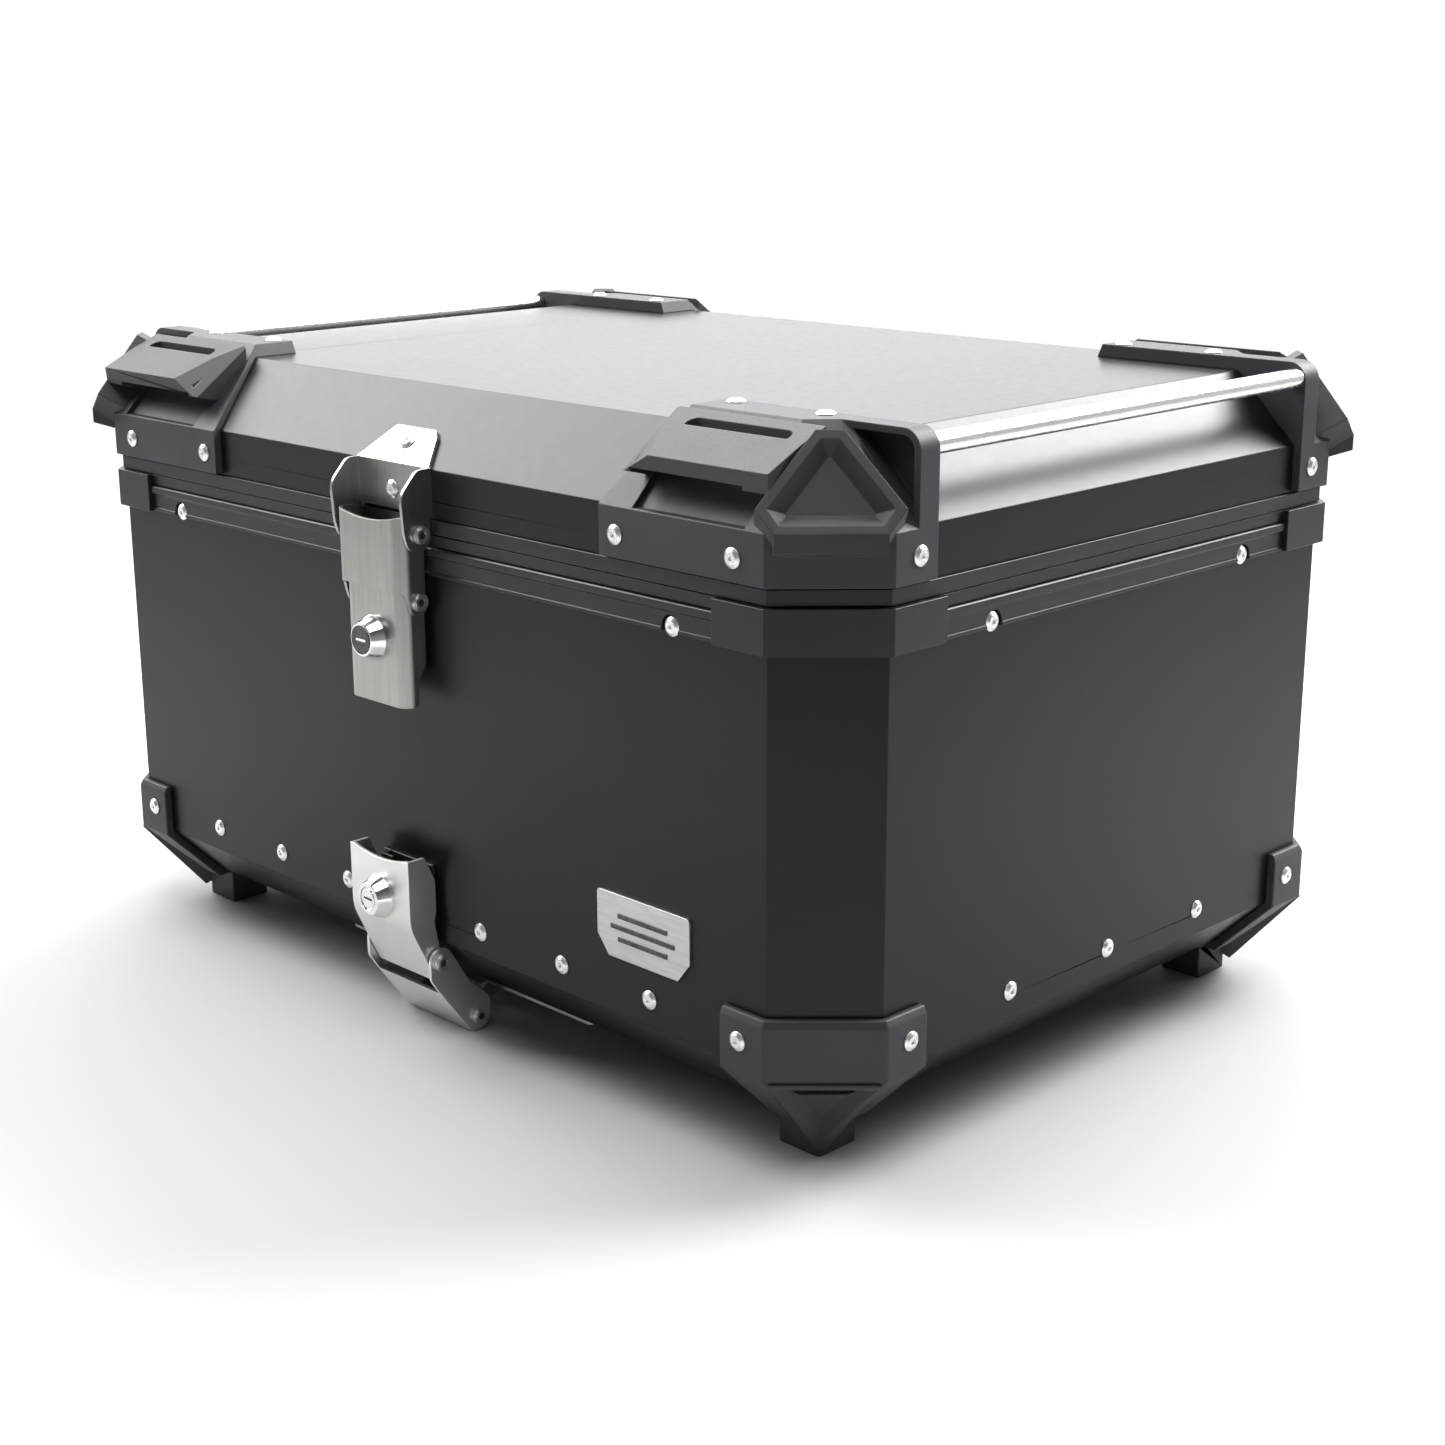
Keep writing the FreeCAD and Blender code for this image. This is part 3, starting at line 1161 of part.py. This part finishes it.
def check_and_export():
    doc.recompute()
    for thing in doc.Objects:
        if "Invalid" in thing.State or "Error" in thing.State:
            raise RuntimeError(f"{thing.Name} ({thing.Label}) failed: {thing.State}")
    os.makedirs("parts", exist_ok=True)
    for old in os.listdir("parts"):
        os.remove(os.path.join("parts", old))
    for thing in nodes:
        shape = thing.Shape
        if shape.isNull() or not shape.isValid():
            raise RuntimeError(f"{thing.Label} has a bad shape")
        bounds = shape.BoundBox
        print(f"{thing.Label:28s} solids {len(shape.Solids):3d}  volume {shape.Volume:11.1f}  "
              f"x {bounds.XMin:8.2f} {bounds.XMax:8.2f}  y {bounds.YMin:8.2f} {bounds.YMax:8.2f}  "
              f"z {bounds.ZMin:8.2f} {bounds.ZMax:8.2f}")
        shape.exportStep(os.path.join("parts", thing.Label + ".step"))
    print(len(nodes), "nodes")


build()
check_and_export()
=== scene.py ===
"""Looks of the motorcycle top case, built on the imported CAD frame. Metres, x right, y back, z up."""
import itertools
import math

import bmesh
import bpy
from mathutils import Matrix, Vector


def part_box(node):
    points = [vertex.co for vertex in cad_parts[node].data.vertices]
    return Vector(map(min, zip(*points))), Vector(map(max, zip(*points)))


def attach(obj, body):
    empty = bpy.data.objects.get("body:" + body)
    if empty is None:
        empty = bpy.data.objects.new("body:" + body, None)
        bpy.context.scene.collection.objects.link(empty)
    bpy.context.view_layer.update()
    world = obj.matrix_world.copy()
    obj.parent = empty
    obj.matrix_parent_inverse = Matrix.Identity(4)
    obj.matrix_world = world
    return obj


MM = 0.001
TINY = 1e-6
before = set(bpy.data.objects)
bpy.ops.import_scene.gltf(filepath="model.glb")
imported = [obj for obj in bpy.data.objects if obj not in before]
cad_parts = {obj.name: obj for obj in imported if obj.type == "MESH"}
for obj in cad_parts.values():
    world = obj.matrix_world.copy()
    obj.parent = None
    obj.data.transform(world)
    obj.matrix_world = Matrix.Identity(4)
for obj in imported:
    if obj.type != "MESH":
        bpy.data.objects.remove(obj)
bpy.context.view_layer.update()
scene = bpy.context.scene


# ---------------------------------------------------------------- materials
class Nodes:
    """A small writer of node trees.

    new(type, inputs) makes a node, and an input is a number or another node's output.
    """

    def __init__(self, tree):
        self.tree = tree

    def new(self, kind, inputs=None, **settings):
        node = self.tree.nodes.new(kind)
        for name, value in settings.items():
            setattr(node, name, value)
        for key, value in (inputs or {}).items():
            if isinstance(value, bpy.types.NodeSocket):
                self.tree.links.new(value, node.inputs[key])
            else:
                node.inputs[key].default_value = value
        return node

    def place(self):
        return self.new("ShaderNodeTexCoord").outputs["Object"]

    def stretched(self, scale):
        return self.new("ShaderNodeMapping", {"Vector": self.place(), "Scale": scale}).outputs["Vector"]

    def noise(self, scale, detail=2.0, stretch=(1, 1, 1), roughness=0.5):
        inputs = {"Vector": self.stretched(stretch), "Scale": scale, "Detail": detail}
        inputs["Roughness"] = roughness
        return self.new("ShaderNodeTexNoise", inputs).outputs["Fac"]

    def spread(self, value, low, high, start=0.3, end=0.7):
        inputs = {"Value": value, "From Min": start, "From Max": end, "To Min": low, "To Max": high}
        return self.new("ShaderNodeMapRange", inputs).outputs["Result"]

    def blend(self, factor, first, second):
        node = self.new("ShaderNodeMix", data_type="RGBA")
        self.tree.links.new(factor, node.inputs["Factor"])
        for name, value in (("A", first), ("B", second)):
            socket = [s for s in node.inputs if s.name == name and s.type == "RGBA"][0]
            socket.default_value = (*value, 1)
        return [s for s in node.outputs if s.type == "RGBA"][0]

    def bump(self, height, depth, strength=1.0, under=None):
        inputs = {"Height": height, "Distance": depth, "Strength": strength}
        if under is not None:
            inputs["Normal"] = under
        return self.new("ShaderNodeBump", inputs).outputs["Normal"]


def material(name, build):
    """The material of that name, found or new, as a Principled shader whose sockets build() fills."""
    found = bpy.data.materials.get(name) or bpy.data.materials.new(name)
    found.use_nodes = True
    found.node_tree.nodes.clear()
    nodes = Nodes(found.node_tree)
    shader = nodes.new("ShaderNodeBsdfPrincipled", build(nodes))
    nodes.new("ShaderNodeOutputMaterial", {"Surface": shader.outputs["BSDF"]})
    return found


def powder_coat(n):
    """Satin black powder coat: fine orange peel, a fainter sheet waviness and a slight cloudiness."""
    peel = n.noise(1500, 2)
    waves = n.noise(9, 1)
    cloud = n.noise(14, 3)
    return {
        "Base Color": n.blend(n.spread(cloud, 0, 1), (0.0035, 0.0037, 0.0042), (0.0055, 0.0058, 0.0065)),
        "Roughness": n.spread(n.noise(220, 3), 0.33, 0.36),
        "IOR": 1.35,
        "Normal": n.bump(waves, 0.0003, 0.03, n.bump(peel, 0.00002, 0.4)),
    }


def rim_black(n):
    """Black coated extrusion: smoother than the sheet, with faint drawing lines."""
    lines = n.noise(260, 2, (0.06, 0.06, 1))
    cloud = n.noise(20, 3)
    return {
        "Base Color": n.blend(n.spread(cloud, 0, 1), (0.007, 0.0073, 0.008), (0.011, 0.0114, 0.0125)),
        "Roughness": n.spread(lines, 0.33, 0.42),
        "IOR": 1.45,
        "Normal": n.bump(lines, 0.00005, 0.4, n.bump(n.noise(1800, 2), 0.00002, 0.4)),
    }


def guard_plastic(n):
    """Moulded glass-filled nylon: cool dark grey with a spark-eroded grain and slightly lighter patches."""
    grain = n.noise(1100, 3, roughness=0.65)
    flow = n.noise(22, 4)
    # Rounds the edges in the render only, because the lid guards' bevels are thin. An export drops it.
    rounded = n.new("ShaderNodeBevel", {"Radius": 0.0009}, samples=6).outputs["Normal"]
    return {
        "Base Color": n.blend(n.spread(flow, 0, 1), (0.021, 0.0225, 0.027), (0.030, 0.032, 0.039)),
        "Roughness": n.spread(grain, 0.46, 0.60),
        "IOR": 1.47,
        "Normal": n.bump(grain, 0.00008, 0.5, rounded),
    }


def latch_steel(n):
    """Brushed stainless sheet: brushing that runs up and down, with a soft uneven sheen."""
    brush = n.noise(420, 4, (1, 1, 0.035), 0.7)
    patches = n.noise(30, 3)
    return {
        "Base Color": n.blend(n.spread(brush, 0, 1, 0.25, 0.75), (0.32, 0.313, 0.295), (0.40, 0.393, 0.375)),
        "Metallic": 1.0,
        "Roughness": n.spread(patches, 0.27, 0.36),
        "Anisotropic": 0.35,
        "Normal": n.bump(brush, 0.00005, 0.35),
    }


def satin_steel_painted_reflection(n):
    """Bead-blasted stainless of the lower latch: even, with fine pits. Its pale colour is a painted
    reflection, the floor's light painted into a lighter copy of the latch steel.
    """
    pits = n.noise(1600, 3, roughness=0.6)
    return {
        "Base Color": n.blend(n.spread(n.noise(35, 3), 0, 1), (0.76, 0.755, 0.735), (0.84, 0.835, 0.815)),
        "Metallic": 1.0,
        "Roughness": n.spread(pits, 0.36, 0.46),
        "Normal": n.bump(pits, 0.00003, 0.4),
    }


def rail_steel(n):
    """Satin stainless tube, brushed round its length."""
    rings = n.noise(700, 3, (1, 0.08, 1), 0.6)
    return {
        "Base Color": n.blend(n.spread(n.noise(40, 3), 0, 1), (0.74, 0.735, 0.72), (0.84, 0.835, 0.82)),
        "Metallic": 1.0,
        "Roughness": n.spread(rings, 0.22, 0.30),
        "Normal": n.bump(rings, 0.00003, 0.3),
    }


def lock_chrome(n):
    """Polished chrome plate with a trace of handling marks."""
    smear = n.noise(120, 4)
    return {
        "Base Color": n.blend(n.spread(smear, 0, 1), (0.80, 0.81, 0.82), (0.90, 0.90, 0.91)),
        "Metallic": 1.0,
        "Roughness": n.spread(smear, 0.08, 0.16),
        "Normal": n.bump(n.noise(900, 2), 0.00001, 0.2),
    }


def rivet_aluminium(n):
    """Bright tumbled aluminium with small dents, on the rivets and the pins' heads."""
    dents = n.noise(900, 3)
    return {
        "Base Color": n.blend(n.spread(n.noise(300, 2), 0, 1), (0.78, 0.78, 0.78), (0.90, 0.90, 0.90)),
        "Metallic": 1.0,
        "Roughness": n.spread(dents, 0.26, 0.38),
        "Normal": n.bump(dents, 0.00006, 0.35),
    }


def badge_metal(n):
    """Fine horizontally brushed nickel."""
    brush = n.noise(900, 3, (0.05, 1, 1), 0.7)
    return {
        "Base Color": n.blend(n.spread(brush, 0, 1), (0.50, 0.50, 0.495), (0.64, 0.64, 0.635)),
        "Metallic": 1.0,
        "Roughness": n.spread(brush, 0.28, 0.38),
        "Normal": n.bump(brush, 0.00003, 0.4),
    }


def seal_rubber(n):
    """Soft black sealing rubber with a dusty bloom."""
    bloom = n.noise(80, 4)
    return {
        "Base Color": n.blend(n.spread(bloom, 0, 1), (0.012, 0.012, 0.012), (0.028, 0.027, 0.026)),
        "Roughness": n.spread(bloom, 0.70, 0.85),
        "Normal": n.bump(n.noise(1400, 2), 0.00006, 0.5),
    }


def blackened_steel_and_painted_shade(n):
    """Dark burnished steel of the upper lock's face plate and the badge lines. On the pins' socket floors
    and in the lower lock's keyway the same dark colour is painted shade.
    """
    burn = n.noise(700, 3)
    return {
        "Base Color": n.blend(n.spread(burn, 0, 1), (0.055, 0.055, 0.06), (0.14, 0.14, 0.145)),
        "Metallic": 1.0,
        "Roughness": n.spread(burn, 0.35, 0.5),
        "Normal": n.bump(burn, 0.00004, 0.4),
    }


BUILDERS = (powder_coat, rim_black, guard_plastic, latch_steel, satin_steel_painted_reflection, rail_steel, lock_chrome,
            rivet_aluminium, badge_metal, seal_rubber, blackened_steel_and_painted_shade)
LOOKS = {build.__name__: material(build.__name__, build) for build in BUILDERS}


# ---------------------------------------------------------------- edge rounding of the CAD nodes
EDGE_ROUNDS = {
    "powder_coat": 0.6, "rim_black": 0.4, "guard_plastic": 0.8, "latch_steel": 0.2, "rail_steel": 0.3,
    "lock_chrome": 0.15, "rivet_aluminium": 0.12, "badge_metal": 0.2, "seal_rubber": 0.4,
}
WELD_REACH = 0.005
FLAT_ANGLE, ROUND_ANGLE, CREASE_ANGLE, PIECE_ANGLE = (math.radians(a) for a in (0.6, 26, 34, 30))


def soften(node, width):
    """Joins the faces of a CAD mesh and rounds its sharp edges by width millimetres."""
    mesh = node.data
    if "custom_normal" in mesh.attributes:
        mesh.attributes.remove(mesh.attributes["custom_normal"])
    mesh.shade_smooth()
    weld = node.modifiers.new("weld", "WELD")
    weld.merge_threshold = WELD_REACH * MM
    flats = node.modifiers.new("flats", "DECIMATE")
    flats.decimate_type = "DISSOLVE"
    flats.angle_limit = FLAT_ANGLE
    rounds = node.modifiers.new("rounds", "BEVEL")
    rounds.width = width * MM
    rounds.segments = 3
    rounds.limit_method = "ANGLE"
    rounds.angle_limit = ROUND_ANGLE
    # Unclamped, the lid guards' tight corners grow spikes. Clamped, their rounds come out very thin.
    rounds.use_clamp_overlap = node.name.startswith("lid_guard")
    creases = node.modifiers.new("creases", "EDGE_SPLIT")
    creases.split_angle = CREASE_ANGLE
    node.modifiers.new("normals", "WEIGHTED_NORMAL").keep_sharp = True


# Each pin and the body it rides on, and the nodes that look different from the rest of their slot.
PINS = {
    "upper_latch_pin": "lid", "upper_link_pin": "upper_link",
    "lower_handle_pin": "lower_lever", "lower_lever_pin": "box",
}
OTHER_LOOKS = dict.fromkeys(PINS, "rivet_aluminium")
# The lower handle and lever take a paler copy of the latch steel: the floor's reflection painted into their
# colour.
OTHER_LOOKS |= dict.fromkeys(("lower_handle", "lower_lever"), "satin_steel_painted_reflection")
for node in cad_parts.values():
    slot = node.material_slots[0].material.name.split(".")[0]
    node.material_slots[0].material = LOOKS[OTHER_LOOKS.get(node.name, slot)]
    soften(node, EDGE_ROUNDS[slot])


# ---------------------------------------------------------------- pieces
PIECE_ROUND = 0.12


def piece(name, mesh_maker, look, body):
    """A mesh object made by mesh_maker(bmesh), riding on a CAD body."""
    shape = bmesh.new()
    mesh_maker(shape)
    bmesh.ops.recalc_face_normals(shape, faces=shape.faces)
    mesh = bpy.data.meshes.new(name)
    shape.to_mesh(mesh)
    shape.free()
    mesh.materials.append(LOOKS[look])
    made = bpy.data.objects.new(name, mesh)
    scene.collection.objects.link(made)
    mesh.shade_smooth()
    rounds = made.modifiers.new("rounds", "BEVEL")
    rounds.width = PIECE_ROUND * MM
    rounds.segments = 2
    rounds.limit_method = "ANGLE"
    rounds.angle_limit = PIECE_ANGLE
    rounds.harden_normals = True
    made.modifiers.new("normals", "WEIGHTED_NORMAL").keep_sharp = True
    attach(made, body)


def axes_at(x, y, z, centre):
    """A matrix with these axes as its columns, at centre."""
    return Matrix.Translation(centre) @ Matrix((x, y, z)).transposed().to_4x4()


def frame_at(centre, out):
    """A matrix whose z axis is out and whose y axis is near up, or is +y where out is straight up."""
    z = Vector(out).normalized()
    x = Vector((0, 0, 1)).cross(z)
    if x.length < TINY:
        x = Vector((1, 0, 0))
    x.normalize()
    return axes_at(x, z.cross(x), z, centre)


# Sizes of the pieces below are in mm, in the axes of the matrix at.
def loop(shape, at, steps, reach, height):
    """A closed loop of points round the z axis, reach(angle) out and height up."""
    points = []
    for i in range(steps):
        a = 2 * math.pi * i / steps
        point = Vector((reach(a) * math.cos(a), reach(a) * math.sin(a), height))
        points.append(shape.verts.new(at @ (point * MM)))
    return points


def band(shape, low, high):
    """The faces between two loops."""
    for i in range(len(low)):
        j = (i + 1) % len(low)
        shape.faces.new((low[i], low[j], high[j], high[i]))


def circle(radius):
    return lambda a: radius


def hexagon(corner):
    """The reach of a hexagon, from its corner radius."""
    sector = 2 * math.pi / 6
    return lambda a: corner * math.cos(sector / 2) / math.cos((a % sector) - sector / 2)


def rectangle(half_x, half_y):
    return lambda a: min(half_x / max(abs(math.cos(a)), TINY), half_y / max(abs(math.sin(a)), TINY))


def turned(shape, at, steps, profile):
    """A solid turned about the z axis from (radius, height) points."""
    rings = [loop(shape, at, steps, circle(radius), height) for radius, height in profile]
    for low, high in itertools.pairwise(rings):
        band(shape, low, high)
    shape.faces.new(rings[0])
    shape.faces.new(list(reversed(rings[-1])))


def holed_disc(shape, at, radius, hole, low, high):
    """A disc from low to high with a hole through it, whose edge hole(angle) gives."""
    steps = 48
    edges = ((circle(radius), low), (circle(radius), high), (hole, high), (hole, low))
    loops = [loop(shape, at, steps, reach, height) for reach, height in edges]
    for k in range(len(loops)):
        band(shape, loops[k], loops[(k + 1) % len(loops)])


def bar(shape, at, low, high):
    """A block between two corners."""
    verts = [shape.verts.new(at @ (Vector(corner) * MM)) for corner in itertools.product(*zip(low, high))]
    for a, b, c, d in ((0, 1, 3, 2), (4, 6, 7, 5), (0, 4, 5, 1), (2, 3, 7, 6), (0, 2, 6, 4), (1, 5, 7, 3)):
        shape.faces.new([verts[i] for i in (a, b, c, d)])


# Pins: a socket-head face at each end, as a thin ring with a hexagonal hole. At the hole's shallow floor is
# a dark disc that is painted shade, standing in for the depth of the socket.
HEAD, SOCKET = 3.7, 2.1
SUNK, PROUD = -0.1, 0.35
SOCKET_SHADE_FLOOR = ((SOCKET, SUNK), (SOCKET, 0.02), (1.2, 0.06))
for node, body in PINS.items():
    low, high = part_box(node)
    centre = (low + high) / 2
    for side, x, out in (("right", high.x, 1), ("left", low.x, -1)):
        at = frame_at((x, centre.y, centre.z), (out, 0, 0))
        piece(f"{node}_{side}_socket", lambda s: holed_disc(s, at, HEAD, hexagon(SOCKET), SUNK, PROUD),
              "rivet_aluminium", body)
        # Painted shade: a dark disc at the socket's floor, in place of the shade of a deep socket.
        piece(f"{node}_{side}_painted_socket_shade", lambda s: turned(s, at, 24, SOCKET_SHADE_FLOOR),
              "blackened_steel_and_painted_shade", body)


# Locks: a face plate with its keyway, and a block in the keyway, chrome in the upper lock and dark in the
# lower lock, where it is painted shade of the keyway. The upper plate lies on the ring, the lower one on the
# plug. Sizes are the plate's radius and half the keyway's width and height.
PLATE = 0.45
KEYWAY_FILL_BACK, KEYWAY_FILL_FRONT = -0.3, 0.15
for node, body, face_look, keyway_fill_look, on_ring, (radius, half_x, half_y) in (
        ("upper_lock_plug", "upper_key", "blackened_steel_and_painted_shade", "lock_chrome", True, (7.6, 4.3, 0.7)),
        ("lower_lock_plug", "lower_key", "lock_chrome", "blackened_steel_and_painted_shade", False, (5.3, 3.6, 0.8))):
    ring_low, ring_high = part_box(node.replace("plug", "ring"))
    centre = (ring_low + ring_high) / 2
    front = ring_low.y if on_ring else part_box(node)[0].y
    at = frame_at((centre.x, front, centre.z), (0, -1, 0))
    piece(f"{node}_face", lambda s: holed_disc(s, at, radius, rectangle(half_x, half_y), 0.0, PLATE),
          face_look, body)
    corners = (-half_x, -half_y, KEYWAY_FILL_BACK), (half_x, half_y, KEYWAY_FILL_FRONT)
    # In the lower lock this block is dark: painted shade inside the keyway.
    piece(f"{node}_shutter", lambda s: bar(s, at, *corners), keyway_fill_look, body)


# Badge: three plain raised lines on the plain plate, the middle one longest.
LINE_HEIGHTS = (9, 15, 21)
LINE_WIDTH = 2.4
LINE_FRONT, LINE_BACK = -0.5, 0.1


def badge_lines(shape):
    low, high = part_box("badge_plate")
    at = Matrix.Translation((low.x, low.y, low.z))
    width = (high.x - low.x) / MM
    for i, z in enumerate(LINE_HEIGHTS):
        inset = 10 + 5 * abs(i - 1)
        bar(shape, at, (inset, LINE_FRONT, z), (width - inset, LINE_BACK, z + LINE_WIDTH))


piece("badge_lines", badge_lines, "blackened_steel_and_painted_shade", "box")


# ---------------------------------------------------------------- stage, light and camera
FLOOR = -0.021
FLOOR_RADIUS = 2.2


def pale_floor(n):
    """Plain matt pale grey, almost even."""
    return {
        "Base Color": n.blend(n.noise(3, 2), (0.44, 0.44, 0.44), (0.45, 0.45, 0.45)),
        "Roughness": 0.9,
        "Specular IOR Level": 0.0,
    }


def stage_floor():
    """A plain round floor under the feet."""
    mesh = bpy.data.meshes.new("floor")
    shape = bmesh.new()
    place = Matrix.Translation((0, 0, FLOOR))
    bmesh.ops.create_circle(shape, cap_ends=True, segments=128, radius=FLOOR_RADIUS, matrix=place)
    shape.to_mesh(mesh)
    shape.free()
    floor = bpy.data.objects.new("floor", mesh)
    scene.collection.objects.link(floor)
    mesh.materials.append(material("pale_floor", pale_floor))


def softbox(name, place, target, size, radiance, spread=180):
    """A rectangular soft light of a given radiance that faces a target."""
    lamp = bpy.data.lights.new(name, "AREA")
    lamp.shape = "RECTANGLE"
    lamp.size, lamp.size_y = size
    lamp.energy = radiance * math.pi * size[0] * size[1]
    lamp.spread = math.radians(spread)
    made = bpy.data.objects.new(name, lamp)
    scene.collection.objects.link(made)
    made.matrix_world = frame_at(place, Vector(place) - Vector(target))


def surroundings():
    """A pale room: white at the horizon, dimmer on the camera's side and overhead."""
    world = bpy.data.worlds.new("studio")
    scene.world = world
    world.use_nodes = True
    world.node_tree.nodes.clear()
    n = Nodes(world.node_tree)
    split = n.new("ShaderNodeSeparateXYZ", {"Vector": n.new("ShaderNodeTexCoord").outputs["Generated"]})
    y_and_x = {0: split.outputs["Y"], 1: split.outputs["X"]}
    depth = n.new("ShaderNodeMath", y_and_x, operation="SUBTRACT").outputs[0]
    far = n.spread(depth, 0.28, 1.0, -0.2, 0.75)
    dim = n.spread(split.outputs["Z"], 1.0, 0.3, 0.08, 0.6)
    strength = n.new("ShaderNodeMath", {0: far, 1: dim}, operation="MULTIPLY").outputs[0]
    shader = n.new("ShaderNodeBackground", {"Color": (1, 1, 1, 1), "Strength": strength})
    n.new("ShaderNodeOutputWorld", {"Surface": shader.outputs["Background"]})


stage_floor()
surroundings()
softbox("key_left", (-1.9, -0.7, 1.9), (0, 0, 0.2), (1.9, 1.9), 2.1, 75)
softbox("back_right", (0.7, 1.9, 1.9), (0, 0, 0.2), (1.8, 1.6), 4.0, 75)
softbox("back_left", (-2.0, 1.9, 1.0), (0, 0, 0.3), (2.6, 0.9), 2.4)
softbox("back_top", (-1.4, 1.4, 2.6), (-1.4, 1.4, 0), (3.2, 3.2), 6.0)
softbox("front_top", (0.7, -0.8, 2.4), (0.3, -0.4, 0), (1.5, 1.5), 4.0)

CAMERA = (0.93643, -0.91502, 0.48146)
AZIMUTH, ELEVATION, ROLL = (math.radians(a) for a in (46.380, 15.604, -0.549))
level = math.cos(ELEVATION)
back = Vector((math.sin(AZIMUTH) * level, -math.cos(AZIMUTH) * level, math.sin(ELEVATION)))
right = (-back).cross(Vector((0, 0, 1))).normalized()
up = right.cross(-back)
rolled_right = math.cos(ROLL) * right + math.sin(ROLL) * up
rolled_up = -math.sin(ROLL) * right + math.cos(ROLL) * up
lens = bpy.data.cameras.new("camera")
lens.sensor_width = 36
lens.lens = 57.46
lens.shift_x = 0.0407
lens.shift_y = -0.0088
camera = bpy.data.objects.new("camera", lens)
scene.collection.objects.link(camera)
camera.matrix_world = axes_at(rolled_right, rolled_up, back, CAMERA)
scene.camera = camera
scene.view_settings.view_transform = "Standard"
scene.view_settings.look = "None"
